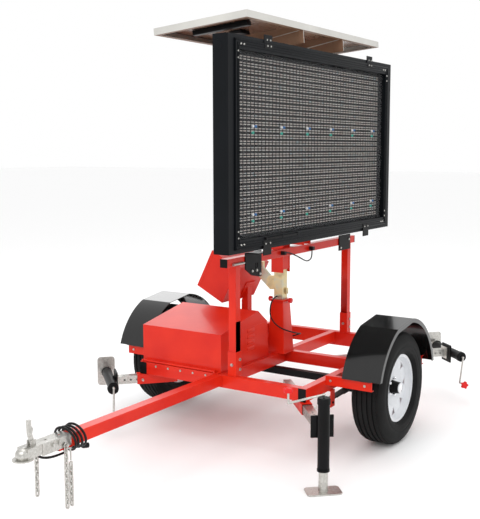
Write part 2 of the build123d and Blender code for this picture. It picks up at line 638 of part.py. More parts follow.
def make_sign():
    shell = block(SIGN_X0, SIGN_X1, SIGN_FACE, SIGN_BACK, SIGN_BOTTOM, SIGN_TOP)
    shell -= block(SIGN_X0 + SHEET, SIGN_X1 - SHEET, SIGN_FACE + SHEET, SIGN_BACK - SHEET,
                   SIGN_BOTTOM + SHEET, SIGN_TOP - SHEET)
    shell -= block(DOOR_X0 - DOOR_GAP, DOOR_X1 + DOOR_GAP, SIGN_FACE - 1, SIGN_FACE + SHEET + 1,
                   DOOR_Z0 - DOOR_GAP, DOOR_Z1 + DOOR_GAP)
    hinge_leaves = []
    for x in HINGE_X:
        hinge_leaves.append(block(x - 44, x + 44, SIGN_FACE - 5, SIGN_FACE, DOOR_Z1 + DOOR_GAP, SIGN_TOP + 28))
    # shelves inside the cabinet carry the display modules
    ribs = []
    z_mid = SIGN_BOTTOM + SIGN_H / 2
    for z in (z_mid - LED_H - 12, z_mid - 6, z_mid + LED_H):
        ribs.append(block(SIGN_X0 + SHEET, SIGN_X1 - SHEET, LED_FACE_Y + LED_T, SIGN_BACK - SHEET, z, z + 12))
    nodes["sign_cabinet"] = solids(shell, *(hinge_leaves + ribs))

    modules = []
    x_left = MAST_X - LED_COLS * LED_W / 2 - 5
    for row in range(LED_ROWS):
        for col in range(LED_COLS):
            x = x_left + col * LED_W
            z = z_mid + (row - 1) * LED_H
            modules.append(block(x + 0.5, x + LED_W - 0.5, LED_FACE_Y, LED_FACE_Y + LED_T,
                                 z + 0.5, z + LED_H - 0.5))
    nodes["led_modules"] = solids(*modules)

    frame = block(DOOR_X0, DOOR_X1, DOOR_FACE, DOOR_FACE + DOOR_T, DOOR_Z0, DOOR_Z1)
    frame -= block(DOOR_X0 + DOOR_BORDER - 25, DOOR_X1 - DOOR_BORDER + 25, DOOR_FACE - 1,
                   DOOR_FACE + DOOR_T + 1, DOOR_Z0 + DOOR_BORDER - 15, DOOR_Z1 - DOOR_BORDER + 15)
    pane = block(DOOR_X0 + 12, DOOR_X1 - 12, DOOR_FACE + DOOR_T, DOOR_FACE + DOOR_T + 4,
                 DOOR_Z0 + 12, DOOR_Z1 - 12)
    nodes["sign_door"] = solids(frame)
    nodes["door_pane"] = solids(pane)
    plates = []
    for x in HINGE_X:
        plates.append(block(x - 44, x + 44, DOOR_FACE - 4, DOOR_FACE, DOOR_Z1 - 28, DOOR_Z1))
    for x in LATCH_X:
        plates.append(block(x - 44, x + 44, DOOR_FACE - 5, DOOR_FACE, SIGN_BOTTOM - 36, DOOR_Z0 + 30))
    nodes["door_latches"] = solids(*plates)


def make_solar():
    half_l = PANEL_L / 2
    half_w = PANEL_W / 2
    rim = block(-half_l, half_l, -half_w, half_w, 0, PANEL_T)
    rim -= block(-half_l + 3, half_l - 3, -half_w + 3, half_w - 3, 3, PANEL_T + 1)
    rim -= block(-half_l + 30, half_l - 30, -half_w + 30, half_w - 30, -1, 4)
    braces = []
    for x in BRACE_X:
        local = x - PANEL_X
        braces.append(block(local - 2, local + 2, -half_w + 3, half_w - 3, -BRACE_H, PANEL_T - 6))
        braces.append(block(local, local + 25, -half_w + 3, half_w - 3, PANEL_T - 9, PANEL_T - 6))
    frame = rim
    for brace in braces:
        frame = frame + brace
    laminate = block(-half_l + 3, half_l - 3, -half_w + 3, half_w - 3, PANEL_T - 6, PANEL_T - 1)
    place = Pos(PANEL_X, PANEL_Y, PANEL_UNDER) * Rot(PANEL_REST_TILT, 0, 0)
    shaft = rod((TILT_ARM_X[0] - 25, PANEL_Y, TILT_SHAFT_Z), (TILT_ARM_X[1] + 25, PANEL_Y, TILT_SHAFT_Z),
                TILT_SHAFT_R)
    nodes["solar_frame"] = solids(place * frame + shaft)
    nodes["solar_laminate"] = solids(place * laminate)

    arms = []
    bore = TILT_SHAFT_R + 0.1
    for x in TILT_ARM_X:
        eye = rod((x - 5, PANEL_Y, TILT_SHAFT_Z), (x + 5, PANEL_Y, TILT_SHAFT_Z), TILT_EYE_R)
        arm = eye + plate_yz([(SIGN_BACK, SIGN_TOP - 110), (SIGN_BACK, SIGN_TOP - 6),
                              (PANEL_Y - 8, TILT_SHAFT_Z + 17), (PANEL_Y + 8, TILT_SHAFT_Z + 17),
                              (PANEL_Y + 8, TILT_SHAFT_Z - 17), (PANEL_Y - 8, TILT_SHAFT_Z - 18)],
                             x - 5, x + 5)
        foot = block(x - 45, x + 45, SIGN_BACK, SIGN_BACK + 6, SIGN_TOP - 110, SIGN_TOP - 6)
        arm = arm + foot - rod((x - 20, PANEL_Y, TILT_SHAFT_Z), (x + 20, PANEL_Y, TILT_SHAFT_Z), bore)
        arms.append(arm)
    nodes["solar_arms"] = solids(*arms)


# ---------------------------------------------------------------- battery box
def box_profile(inset):
    base = FRAME_TOP + TRAY_T + TOUCH
    lift = 0.0 if inset == 0 else -1.0
    return [(BOX_FRONT + inset, base + lift), (BOX_FRONT + inset, FRAME_TOP + BOX_FRONT_H - inset),
            (BOX_PEAK_X, FRAME_TOP + BOX_PEAK_H - inset), (BOX_REAR_X - inset, FRAME_TOP + BOX_FRONT_H - inset),
            (BOX_REAR - inset, base + lift)]


BOX_HINGE_X = FRAME_FRONT + 6.0
BOX_HINGE_Z = FRAME_TOP + TRAY_T + 8.0


def make_battery_box():
    tray = block(FRAME_FRONT, BOX_REAR + 5, 2, BOX_SIDE, FRAME_TOP, FRAME_TOP + TRAY_T)
    tray += block(FRAME_FRONT - TRAY_T, FRAME_FRONT, 38, FRAME_HALF_W - 60, 408, FRAME_TOP + TRAY_T)
    ears = []
    for y in (32.0, 590.0):
        ears.append(block(BOX_HINGE_X - 7, BOX_HINGE_X + 7, y - 4, y + 4, FRAME_TOP + TRAY_T, BOX_HINGE_Z + 6))
    pin = rod((BOX_HINGE_X, 32, BOX_HINGE_Z), (BOX_HINGE_X, 590, BOX_HINGE_Z), 3)
    nodes["battery_tray"] = solids(tray + ears[0] + ears[1] + pin)

    cover = plate_xz(box_profile(0), 0, BOX_SIDE)
    cover -= plate_xz(box_profile(BOX_SHEET), BOX_SHEET, BOX_SIDE - BOX_SHEET)
    knuckle = rod((BOX_HINGE_X, 40, BOX_HINGE_Z), (BOX_HINGE_X, 582, BOX_HINGE_Z), 6.5)
    leaf = block(BOX_HINGE_X, BOX_FRONT + 2, 40, 582, BOX_HINGE_Z + 2, BOX_HINGE_Z + 5)
    cover = cover + knuckle + leaf
    cover -= rod((BOX_HINGE_X, 30, BOX_HINGE_Z), (BOX_HINGE_X, 592, BOX_HINGE_Z), 3.1)
    nodes["battery_cover"] = solids(cover)

    batteries = []
    z0 = FRAME_TOP + TRAY_T
    for i in range(2):
        for j in range(2):
            x = -585 + 210 * i
            y = 30 + 276 * j
            case = block(x, x + 200, y, y + 270, z0, z0 + 204)
            for post_x in (x + 45, x + 155):
                case += rod((post_x, y + 26, z0 + 204), (post_x, y + 26, z0 + 214), 9)
            batteries.append(case)
    nodes["batteries"] = solids(*batteries)


def make_console():
    place = console_place()
    t = 2.5
    outer = block(CONSOLE_X0, CONSOLE_X1, -CONSOLE_H, 0, 0, CONSOLE_DEPTH - LID_T)
    outer -= block(CONSOLE_X0 + t, CONSOLE_X1 - t, t - CONSOLE_H, -t, t, CONSOLE_DEPTH)
    panel = block(CONSOLE_X0 + t, CONSOLE_X1 - t, t - CONSOLE_H, -t, CONSOLE_DEPTH - LID_T - 60,
                  CONSOLE_DEPTH - LID_T - 56)
    nodes["control_box"] = solids(place * (outer + panel))
    lid = block(CONSOLE_X0, CONSOLE_X1, -CONSOLE_H, 0, CONSOLE_DEPTH - LID_T + TOUCH, CONSOLE_DEPTH)
    lid -= block(CONSOLE_X0 + 3, CONSOLE_X1 - 3, 3 - CONSOLE_H, -3, CONSOLE_DEPTH - LID_T - 1,
                 CONSOLE_DEPTH - 3)
    nodes["control_lid"] = solids(place * lid)


# ---------------------------------------------------------------- corner jacks
def jack_place(name):
    stow = 0.0
    if name != "front_left":
        stow = 90.0 if name.endswith("left") else -90.0
    return corner_place(name) * Pos(JACK_REACH[name], 0, 0) * Rot(stow, 0, 0)


def make_jacks():
    plate_w, plate_h, plate_t = JACK_PLATE
    back = -JACK_TUBE_R
    for name in JACK_REACH:
        side = 1 if name.endswith("left") else -1
        corner = corner_place(name)
        reach = JACK_REACH[name]
        half = OUTRIGGER_SIZE / 2
        outer = reach + back - plate_t - TOUCH - 8
        inner = reach - OUTRIGGER_L
        tube = block(inner, outer, -half, half, -half, half)
        tube -= block(inner - 1, outer + 1, -half + 3, half - 3, -half + 3, half - 3)
        for i in range(10):
            x = outer - 40 - 40 * i
            tube -= block(x - 5.5, x + 5.5, -half - 1, half + 1, -5.5, 5.5)
            tube -= block(x - 5.5, x + 5.5, -5.5, 5.5, -half - 1, half + 1)
        flange = block(outer, outer + 8, -42, 42, -42, 42)
        pivot = rod((outer + 4, 0, 0), (reach - JACK_TUBE_R - 1, 0, 0), 12)
        nodes["outrigger_" + name] = solids(corner * (tube + flange + pivot))

        place = jack_place(name)
        body = rod((0, 0, -JACK_BELOW), (0, 0, JACK_ABOVE), JACK_TUBE_R)
        body += block(back - plate_t, back + 3, -plate_w / 2, plate_w / 2, -44, plate_h - 44)
        body -= rod((0, 0, -JACK_BELOW - 1), (0, 0, JACK_ABOVE - 12), JACK_LEG_R + JACK_LEG_GAP)
        body -= rod((0, 0, JACK_ABOVE - 20), (0, 0, JACK_ABOVE + 1), CRANK_R + 0.2)
        body -= rod((back - plate_t - 1, 0, 0), (back - 0.6, 0, 0), 12.15)
        nodes["jack_" + name] = solids(place * body)

        foot_z = -JACK_RETRACTED
        if name == "front_left":
            foot_z = -OUTRIGGER_Z
        leg = rod((0, 0, foot_z + 4), (0, 0, foot_z + JACK_RETRACTED + 90), JACK_LEG_R)
        foot = block(-JACK_FOOT_W / 2, JACK_FOOT_W / 2, -JACK_FOOT_L / 2, JACK_FOOT_L / 2,
                     foot_z, foot_z + JACK_FOOT_T)
        foot = fillet(foot.edges().filter_by(Axis.Z), 22)
        nodes["leg_" + name] = solids(place * (leg + foot))

        top = JACK_ABOVE + 20
        crank = rod((0, 0, JACK_ABOVE - 10), (0, 0, top), CRANK_R)
        end = (0, -side * CRANK_ARM, top - CRANK_DROP)
        crank += rod((0, 0, top), end, CRANK_R)
        crank += Pos(0, 0, top) * Sphere(CRANK_R + 2)
        crank += Pos(*end) * Sphere(CRANK_R + 1)
        tip = (0, -side * CRANK_ARM, top - CRANK_DROP + CRANK_HANDLE)
        crank += rod(end, tip, CRANK_R)
        knob = rod((tip[0], tip[1], tip[2] - 4), (tip[0], tip[1], tip[2] + KNOB_H - 4), KNOB_R)
        crank = crank - knob
        nodes["crank_" + name] = solids(place * crank, place * knob)


# ---------------------------------------------------------------- cords
def cord_tube(points, radius):
    # straight runs joined by tangent arcs; each radius follows the shorter of its two runs
    vectors = [Vector(*p) for p in points]
    radii = []
    for i in range(1, len(vectors) - 1):
        before = vectors[i] - vectors[i - 1]
        after = vectors[i + 1] - vectors[i]
        turn = before.get_angle(after)
        radii.append(0.45 * min(before.length, after.length) / math.tan(math.radians(turn / 2)))
    path = FilletPolyline(*vectors, radius=radii)
    start = Plane(origin=vectors[0], z_dir=vectors[1] - vectors[0])
    tube = sweep(start * Circle(radius), path=path)
    print("cord", round(path.length, 1), "volume ratio",
          round(tube.volume / (math.pi * radius ** 2 * path.length), 4), [round(r, 1) for r in radii])
    return tube


# mast cable: out of the gland on the post, down in a free bow and round to the base's rear face
MAST_CABLE = [(57.8, 0, 820), (30, 0, 820), (-8, 6, 786), (-20, 8, 730), (-14, 2, 684), (0, -24, 642),
              (22, -62, 612), (68, -98, 590), (122, -112, 572), (178, -110, 558), (224, -90, 548),
              (236, -44, 530), (216, -6, 517), (176.5, -6, 517)]
# sign cable: a slack loop in front of the bar between two glands
SIGN_CABLE = [(290, -136, 1115.8), (290, -136, 1090), (276, -140, 1066), (246, -142, 1052), (206, -143, 1050),
              (160, -143, 1064), (112, -142, 1084), (60, -140, 1104), (4, -138, 1122), (-40, -136, 1133),
              (-74.8, -136, 1133)]
# harness: a lead out from under the coupler, turns wound round the drawbar, and the plug
HARNESS_LEAD = [(-2104, -4, 388), (-2090, -4, 374), (-2056, -6, 360), (-2010, -8, 352), (-1962, -8, 350),
                (-1912, -6, 353)]
HARNESS_TURNS = (-1920.0, -1896.0, -1872.0, -1850.0)
HARNESS_TURN_R = 60.0
HARNESS_TURN_TILT = 15.0


def make_cords():
    nodes["mast_cable"] = solids(cord_tube(MAST_CABLE, MAST_CABLE_R))
    nodes["sign_cable"] = solids(cord_tube(SIGN_CABLE, SIGN_CABLE_R))
    face = STAND_Y - UPRIGHT / 2
    x, y, z = MAST_CABLE[-1]
    base_gland = rod((MAST_X + 30, y, z), (x - 0.2, y, z), 9)
    for solid in nodes["mast_base"]:
        base_gland -= solid
    base_gland &= block(MAST_X + 50, x + 10, y - 20, y + 20, z - 20, z + 20)
    glands = [block(276, 304, face - 30, face, 1116, 1140), block(-99, -75, face - 30, face, 1122, 1144),
              base_gland]
    nodes["cable_glands"] = solids(*glands)

    turns = [Pos(x, 0, 412) * Rot(0, 90 - HARNESS_TURN_TILT, 0) * Torus(HARNESS_TURN_R, HARNESS_R)
             for x in HARNESS_TURNS]
    plug = rod((-1822, -6, 350), (-1782, -18, 344), 13)
    nodes["harness_coil"] = solids(plug, *turns)
    nodes["harness_lead"] = solids(cord_tube(HARNESS_LEAD, HARNESS_R))


# ---------------------------------------------------------------- build
def main():
    make_frame()
    make_sockets()
    make_brackets()
    make_coupler()
    make_chains()
    make_stand()
    make_fasteners()
    make_axle()
    wheel("left")
    wheel("right")
    make_fenders()
    make_mast()
    make_sign()
    make_solar()
    make_battery_box()
    make_console()
    make_jacks()
    make_cords()

    corded = ("mast_cable", "sign_cable", "harness_lead", "harness_coil")
    boxes = [solid.bounding_box() for name, found in nodes.items()
             if name not in corded and "chain" not in name for solid in found]
    low = Vector(min(b.min.X for b in boxes), min(b.min.Y for b in boxes), min(b.min.Z for b in boxes))
    high = Vector(max(b.max.X for b in boxes), max(b.max.Y for b in boxes), max(b.max.Z for b in boxes))
    shift = Pos(-(low.X + high.X) / 2, -(low.Y + high.Y) / 2, -low.Z)
    print("origin shift", [round(v, 4) for v in shift.position])
    print("size", [round(v, 1) for v in high - low])
    os.makedirs("parts", exist_ok=True)
    for name, found in nodes.items():
        export_step(Compound(children=[shift * solid for solid in found]), "parts/" + name + ".step")
    print(len(nodes), "nodes")


main()
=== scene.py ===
import json
import math

import bmesh
import bpy
from mathutils import Matrix, Vector


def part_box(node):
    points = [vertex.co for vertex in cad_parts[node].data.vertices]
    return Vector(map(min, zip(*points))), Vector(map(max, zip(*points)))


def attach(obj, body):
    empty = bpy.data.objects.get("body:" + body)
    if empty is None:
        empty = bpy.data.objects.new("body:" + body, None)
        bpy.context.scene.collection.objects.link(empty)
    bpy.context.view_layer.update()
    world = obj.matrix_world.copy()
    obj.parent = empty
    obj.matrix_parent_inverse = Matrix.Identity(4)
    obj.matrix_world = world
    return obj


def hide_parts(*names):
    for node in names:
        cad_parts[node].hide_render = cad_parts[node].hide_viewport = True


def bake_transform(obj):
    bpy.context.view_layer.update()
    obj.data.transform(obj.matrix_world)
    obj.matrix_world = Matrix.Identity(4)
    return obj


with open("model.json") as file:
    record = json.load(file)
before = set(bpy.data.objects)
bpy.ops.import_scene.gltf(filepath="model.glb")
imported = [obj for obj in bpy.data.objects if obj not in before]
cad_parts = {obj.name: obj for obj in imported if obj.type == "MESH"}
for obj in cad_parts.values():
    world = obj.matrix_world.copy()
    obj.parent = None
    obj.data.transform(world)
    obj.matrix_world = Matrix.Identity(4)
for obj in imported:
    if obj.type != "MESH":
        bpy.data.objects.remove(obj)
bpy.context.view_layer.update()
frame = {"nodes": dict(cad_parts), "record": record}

# The scene's own places are given from the axle line, which lies ahead of the mast.
MAST_TO_AXLE = 0.105
base_low, base_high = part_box("mast_base")
AXLE_X = (base_low.x + base_high.x) / 2 - MAST_TO_AXLE
CORNERS = ("front_left", "front_right", "rear_left", "rear_right")
MM = 0.001


def at(x, y, z):
    """A place given in metres from the axle, as a place in the row frame."""
    return Vector((x + AXLE_X, y, z))


def middle(node):
    low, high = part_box(node)
    return (low + high) / 2


# ---------------------------------------------------------------- camera
CAMERA_AT = (-4.8287, -2.9212, 1.796)
CAMERA_YAW = math.radians(32.498)
CAMERA_PITCH = math.radians(-6.826)
CAMERA_LENS = 60.05
CAMERA_SHIFT = (-0.0244, -0.0138)


def make_camera():
    data = bpy.data.cameras.new("camera")
    data.lens = CAMERA_LENS
    data.shift_x, data.shift_y = CAMERA_SHIFT
    data.clip_end = 200
    camera = bpy.data.objects.new("camera", data)
    bpy.context.collection.objects.link(camera)
    look = Vector((math.cos(CAMERA_YAW) * math.cos(CAMERA_PITCH),
                   math.sin(CAMERA_YAW) * math.cos(CAMERA_PITCH),
                   math.sin(CAMERA_PITCH)))
    camera.rotation_mode = "QUATERNION"
    camera.rotation_quaternion = look.to_track_quat("-Z", "Y")
    camera.location = at(*CAMERA_AT)
    bpy.context.scene.camera = camera


# ---------------------------------------------------------------- materials
def new_material(name):
    material = bpy.data.materials.new(name)
    material.use_nodes = True
    nodes = material.node_tree.nodes
    shader = nodes["Principled BSDF"]
    place = nodes.new("ShaderNodeTexCoord")
    return material, nodes, material.node_tree.links, shader, place.outputs["Object"]


def noise(nodes, links, place, scale, detail=4.0):
    texture = nodes.new("ShaderNodeTexNoise")
    texture.inputs["Scale"].default_value = scale
    texture.inputs["Detail"].default_value = detail
    links.new(place, texture.inputs["Vector"])
    return texture.outputs["Fac"]


def ramp(nodes, links, factor, stops):
    colours = nodes.new("ShaderNodeValToRGB")
    while len(colours.color_ramp.elements) < len(stops):
        colours.color_ramp.elements.new(0.5)
    for element, (position, colour) in zip(colours.color_ramp.elements, stops):
        element.position = position
        element.color = (*colour, 1)
    links.new(factor, colours.inputs["Fac"])
    return colours.outputs["Color"]


def spread(nodes, links, factor, low, high):
    scale = nodes.new("ShaderNodeMapRange")
    scale.inputs["To Min"].default_value = low
    scale.inputs["To Max"].default_value = high
    links.new(factor, scale.inputs["Value"])
    return scale.outputs["Result"]


def add_bump(nodes, links, shader, height, strength, distance):
    bump = nodes.new("ShaderNodeBump")
    bump.inputs["Strength"].default_value = strength
    bump.inputs["Distance"].default_value = distance
    links.new(height, bump.inputs["Height"])
    links.new(bump.outputs["Normal"], shader.inputs["Normal"])


def surface(name, shades, rough, metallic=0.0, coat=0.0, patch=4.0, grain=500.0, bump=0.04,
            specular=0.2):
    """A finish whose colour drifts between shades in patches, with a fine grain in its gloss."""
    material, nodes, links, shader, place = new_material(name)
    patches = noise(nodes, links, place, patch, 6.0)
    stops = [(0.3 + 0.4 * i / max(1, len(shades) - 1), shade) for i, shade in enumerate(shades)]
    links.new(ramp(nodes, links, patches, stops), shader.inputs["Base Color"])
    fine = noise(nodes, links, place, grain, 3.0)
    links.new(spread(nodes, links, fine, rough[0], rough[1]), shader.inputs["Roughness"])
    shader.inputs["Metallic"].default_value = metallic
    shader.inputs["Coat Weight"].default_value = coat
    shader.inputs["Coat Roughness"].default_value = 0.08
    shader.inputs["Specular IOR Level"].default_value = specular
    add_bump(nodes, links, shader, fine, bump, 0.0004)
    return material


def spangled_zinc():
    material, nodes, links, shader, place = new_material("zinc plate")
    cells = nodes.new("ShaderNodeTexVoronoi")
    cells.inputs["Scale"].default_value = 130
    links.new(place, cells.inputs["Vector"])
    flakes = ramp(nodes, links, cells.outputs["Color"],
                  [(0.1, (0.44, 0.43, 0.40)), (0.9, (0.60, 0.59, 0.56))])
    links.new(flakes, shader.inputs["Base Color"])
    fine = noise(nodes, links, place, 90)
    links.new(spread(nodes, links, fine, 0.22, 0.45), shader.inputs["Roughness"])
    shader.inputs["Metallic"].default_value = 0.92
    add_bump(nodes, links, shader, fine, 0.05, 0.0004)
    return material


SOLAR_CELL = 0.158


def solar_glass():
    """Dark blue cells on the upper side, with fine silver lines, and a brownish sheet below."""
    material, nodes, links, shader, place = new_material("solar laminate")
    grid = nodes.new("ShaderNodeTexBrick")
    grid.offset = 0
    grid.inputs["Scale"].default_value = 1
    grid.inputs["Brick Width"].default_value = SOLAR_CELL
    grid.inputs["Row Height"].default_value = SOLAR_CELL
    grid.inputs["Mortar Size"].default_value = 0.0018
    grid.inputs["Color1"].default_value = (0.010, 0.018, 0.060, 1)
    grid.inputs["Color2"].default_value = (0.013, 0.024, 0.075, 1)
    grid.inputs["Mortar"].default_value = (0.45, 0.47, 0.50, 1)
    links.new(place, grid.inputs["Vector"])
    below = ramp(nodes, links, noise(nodes, links, place, 2.2, 8),
                 [(0.3, (0.14, 0.075, 0.05)), (0.5, (0.22, 0.125, 0.085)),
                  (0.72, (0.30, 0.19, 0.13))])
    facing = nodes.new("ShaderNodeNewGeometry")
    split = nodes.new("ShaderNodeSeparateXYZ")
    links.new(facing.outputs["Normal"], split.inputs["Vector"])
    above = nodes.new("ShaderNodeMath")
    above.operation = "GREATER_THAN"
    above.inputs[1].default_value = 0.0
    links.new(split.outputs["Z"], above.inputs[0])
    mix = nodes.new("ShaderNodeMix")
    mix.data_type = "RGBA"
    links.new(above.outputs[0], mix.inputs[0])
    links.new(below, mix.inputs[6])
    links.new(grid.outputs["Color"], mix.inputs[7])
    links.new(mix.outputs[2], shader.inputs["Base Color"])
    shader.inputs["Roughness"].default_value = 0.22
    return material


def clear_pane():
    material, _, _, shader, _ = new_material("clear pane")
    shader.inputs["Base Color"].default_value = (0.95, 0.97, 1, 1)
    shader.inputs["Roughness"].default_value = 0.04
    shader.inputs["Alpha"].default_value = 0.02
    shader.inputs["Specular IOR Level"].default_value = 0.1
    return material


RED = surface("red enamel", [(0.60, 0.012, 0.005), (0.72, 0.026, 0.008)], (0.26, 0.36),
              coat=0.1, bump=0.03)
BLACK = surface("black paint", [(0.003, 0.003, 0.003), (0.006, 0.006, 0.007)], (0.34, 0.5),
                specular=0.12)
SIGN_BLACK = surface("blue black coat", [(0.002, 0.003, 0.004), (0.004, 0.005, 0.007)],
                     (0.36, 0.5), bump=0.08, specular=0.12)
PLASTIC = surface("black plastic", [(0.004, 0.004, 0.005), (0.010, 0.010, 0.011)],
                  (0.42, 0.55), bump=0.1)
FENDER = surface("gloss black fender", [(0.003, 0.003, 0.003), (0.006, 0.006, 0.006)],
                 (0.12, 0.2), coat=0.5, specular=0.3)
RUBBER = surface("tyre rubber", [(0.004, 0.004, 0.004), (0.010, 0.010, 0.010)], (0.55, 0.8),
                 patch=9, grain=350, bump=0.25, specular=0.15)
CABLE = surface("cable sheath", [(0.004, 0.004, 0.005), (0.010, 0.010, 0.010)], (0.35, 0.5),
                patch=30)
ZINC = spangled_zinc()
GOLD = surface("yellow zinc",
               [(0.42, 0.34, 0.22), (0.66, 0.53, 0.29), (0.50, 0.50, 0.40), (0.62, 0.44, 0.33)],
               (0.24, 0.4), metallic=0.85, patch=11, grain=160)
STEEL = surface("bare steel", [(0.38, 0.38, 0.38), (0.5, 0.5, 0.5)], (0.2, 0.32), metallic=1,
                patch=20)
CHROME = surface("chrome", [(0.75, 0.76, 0.78), (0.85, 0.85, 0.86)], (0.06, 0.12), metallic=1,
                 bump=0.0)
WHITE = surface("wheel white", [(0.66, 0.68, 0.71), (0.76, 0.77, 0.79)], (0.25, 0.38), coat=0.3,
                patch=8)
ALLOY = surface("solar frame", [(0.56, 0.55, 0.52), (0.66, 0.65, 0.61)], (0.3, 0.45),
                metallic=0.55, patch=3)
BOARD = surface("module black", [(0.002, 0.002, 0.002), (0.005, 0.005, 0.005)], (0.5, 0.7),
                patch=12, specular=0.05)
LENS = surface("lamp lenses",
               [(0.26, 0.23, 0.20), (0.55, 0.53, 0.50), (0.44, 0.36, 0.32), (0.34, 0.42, 0.44)],
               (0.2, 0.35), patch=25, bump=0.02)
KNOB = surface("red knob", [(0.62, 0.01, 0.012), (0.72, 0.018, 0.016)], (0.25, 0.35), patch=20)
GREEN = surface("green lamp", [(0.02, 0.36, 0.26), (0.05, 0.50, 0.36)], (0.2, 0.3), patch=60)
BLUE = surface("blue lamp", [(0.02, 0.12, 0.36), (0.04, 0.20, 0.50)], (0.2, 0.3), patch=60)
# Painted reflection: the brown of the solar sheet, set as base colour on the solar frame's inner
# and under faces.
PAINTED_REFLECTION_BROWN = surface("painted brown reflection", [(0.17, 0.085, 0.05), (0.27, 0.16, 0.10)], (0.35, 0.5),
                patch=2.5)
CASE = surface("battery case", [(0.012, 0.012, 0.013), (0.03, 0.03, 0.03)], (0.45, 0.6), patch=10)
SOLAR = solar_glass()
PANE = clear_pane()


# ---------------------------------------------------------------- building pieces
BODY_OF = {node: body for body, nodes in frame["record"]["behaviour"]["bodies"].items()
           for node in nodes}


def piece(name, bm, material, body, replaces=(), smooth=40):
    """Makes a finished object of a bmesh, gives it its finish and sets it on its body."""
    bmesh.ops.recalc_face_normals(bm, faces=bm.faces)
    mesh = bpy.data.meshes.new(name)
    bm.to_mesh(mesh)
    bm.free()
    mesh.materials.append(material)
    mesh.shade_smooth()
    mesh.set_sharp_from_angle(angle=math.radians(smooth))
    obj = bpy.data.objects.new(name, mesh)
    bpy.context.collection.objects.link(obj)
    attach(obj, body)
    if replaces:
        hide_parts(*replaces)
    return obj


def copied(node):
    """A merged copy of a CAD node's mesh, with its flat faces whole again."""
    bm = bmesh.new()
    bm.from_mesh(frame["nodes"][node].data)
    bmesh.ops.remove_doubles(bm, verts=bm.verts, dist=1e-6)
    bmesh.ops.dissolve_limit(bm, angle_limit=math.radians(0.5), verts=bm.verts, edges=bm.edges)
    return bm


def islands(node):
    """The separate solids of a CAD node, each as a bmesh of its own."""
    whole = copied(node)
    left = set(whole.verts)
    found = []
    while left:
        group = {left.pop()}
        front = list(group)
        while front:
            vert = front.pop()
            for edge in vert.link_edges:
                other = edge.other_vert(vert)
                if other in left:
                    left.discard(other)
                    group.add(other)
                    front.append(other)
        single = whole.copy()
        keep = {vert.index for vert in group}
        single.verts.ensure_lookup_table()
        doomed = [vert for vert in single.verts if vert.index not in keep]
        bmesh.ops.delete(single, geom=doomed, context="VERTS")
        found.append(single)
    whole.free()
    return found


def span(bm):
    low = Vector([min(vert.co[i] for vert in bm.verts) for i in range(3)])
    high = Vector([max(vert.co[i] for vert in bm.verts) for i in range(3)])
    return low, high


def caps(bm):
    """The two end faces of a cylinder, as (centre, centre, radius), or None for any other shape."""
    ends = [face for face in bm.faces if len(face.verts) > 8]
    if len(ends) != 2:
        return None
    centre = [end.calc_center_median() for end in ends]
    return centre[0], centre[1], (ends[0].verts[0].co - centre[0]).length


def eased(obj, width, segments=2):
    """Rounds an object's sharp edges a little, as bent and ground steel is."""
    bevel = obj.modifiers.new("edges", "BEVEL")
    bevel.width = width
    bevel.segments = segments
    bevel.limit_method = "ANGLE"
    bevel.angle_limit = math.radians(35)
    bevel.harden_normals = True
    return obj


def restyle(node, material, width=0.0, segments=2):
    """Shows a CAD node in a finish, with its edges eased where width is given."""
    if width == 0.0:
        shown = frame["nodes"][node]
        shown.data.materials.clear()
        shown.data.materials.append(material)
        return shown
    obj = piece(node + "_shell", copied(node), material, BODY_OF[node], (node,))
    return eased(obj, width, segments)


def along(start, end):
    """A matrix that carries a shape built round the Z axis onto the line from start to end."""
    turn = (end - start).to_track_quat("Z", "Y").to_matrix().to_4x4()
    return Matrix.Translation((start + end) / 2) @ turn


def add_box(bm, low, high, ease=0.0):
    low, high = Vector(low), Vector(high)
    size = high - low
    shape = Matrix.Translation((low + high) / 2) @ Matrix.Diagonal((*size, 1))
    made = bmesh.ops.create_cube(bm, size=1, matrix=shape)["verts"]
    if ease:
        edges = list({edge for vert in made for edge in vert.link_edges})
        bmesh.ops.bevel(bm, geom=edges, offset=ease, segments=2, profile=0.5, affect="EDGES",
                        material=-1)


def add_rod(bm, start, end, radius, sides=24, tip=None):
    start, end = Vector(start), Vector(end)
    far_radius = radius if tip is None else tip
    bmesh.ops.create_cone(bm, segments=sides, radius1=radius, radius2=far_radius,
                          depth=(end - start).length, cap_ends=True, matrix=along(start, end))


def add_hex(bm, start, end, radius):
    """A hexagon head on a washer, seated at the start point."""
    axis = (end - start).normalized()
    washer = min(0.0018, (end - start).length * 0.3)
    add_rod(bm, start, start + axis * washer, radius * 1.12, 24)
    before = set(bm.faces)
    add_rod(bm, start + axis * washer, end, radius, 6)
    top = [face for face in bm.faces if face not in before and face.normal.dot(axis) > 0.9]
    rim = list({edge for face in top for edge in face.edges})
    bmesh.ops.bevel(bm, geom=rim, offset=radius * 0.12, segments=2, profile=0.5, affect="EDGES",
                    material=-1)


# ---------------------------------------------------------------- cords
MAST_CABLE = [(57.8, 0, 820), (30, 0, 820), (-8, 6, 786), (-20, 8, 730), (-14, 2, 684),
              (0, -24, 642),
              (22, -62, 612), (68, -98, 590), (122, -112, 572), (178, -110, 558), (224, -90, 548),
              (236, -44, 530), (216, -6, 517), (176.5, -6, 517)]
SIGN_CABLE = [(290, -136, 1115.8), (290, -136, 1090), (276, -140, 1066), (246, -142, 1052),
              (206, -143, 1050), (160, -143, 1064), (112, -142, 1084), (60, -140, 1104),
              (4, -138, 1122), (-40, -136, 1133), (-74.8, -136, 1133)]
HARNESS_LEAD = [(-2104, -4, 388), (-2090, -4, 374), (-2056, -6, 360), (-2010, -8, 352),
                (-1962, -8, 350), (-1930, -7, 350)]
MAST_CABLE_R = 4.5 * MM
SIGN_CABLE_R = 4.0 * MM
HARNESS_R = 6.0 * MM
TURN_STATIONS = (-1.920, -1.896, -1.872, -1.850)
TURN_R = 0.060
TURN_AXIS_Z = 0.412
TURN_LEAN = math.tan(math.radians(15))
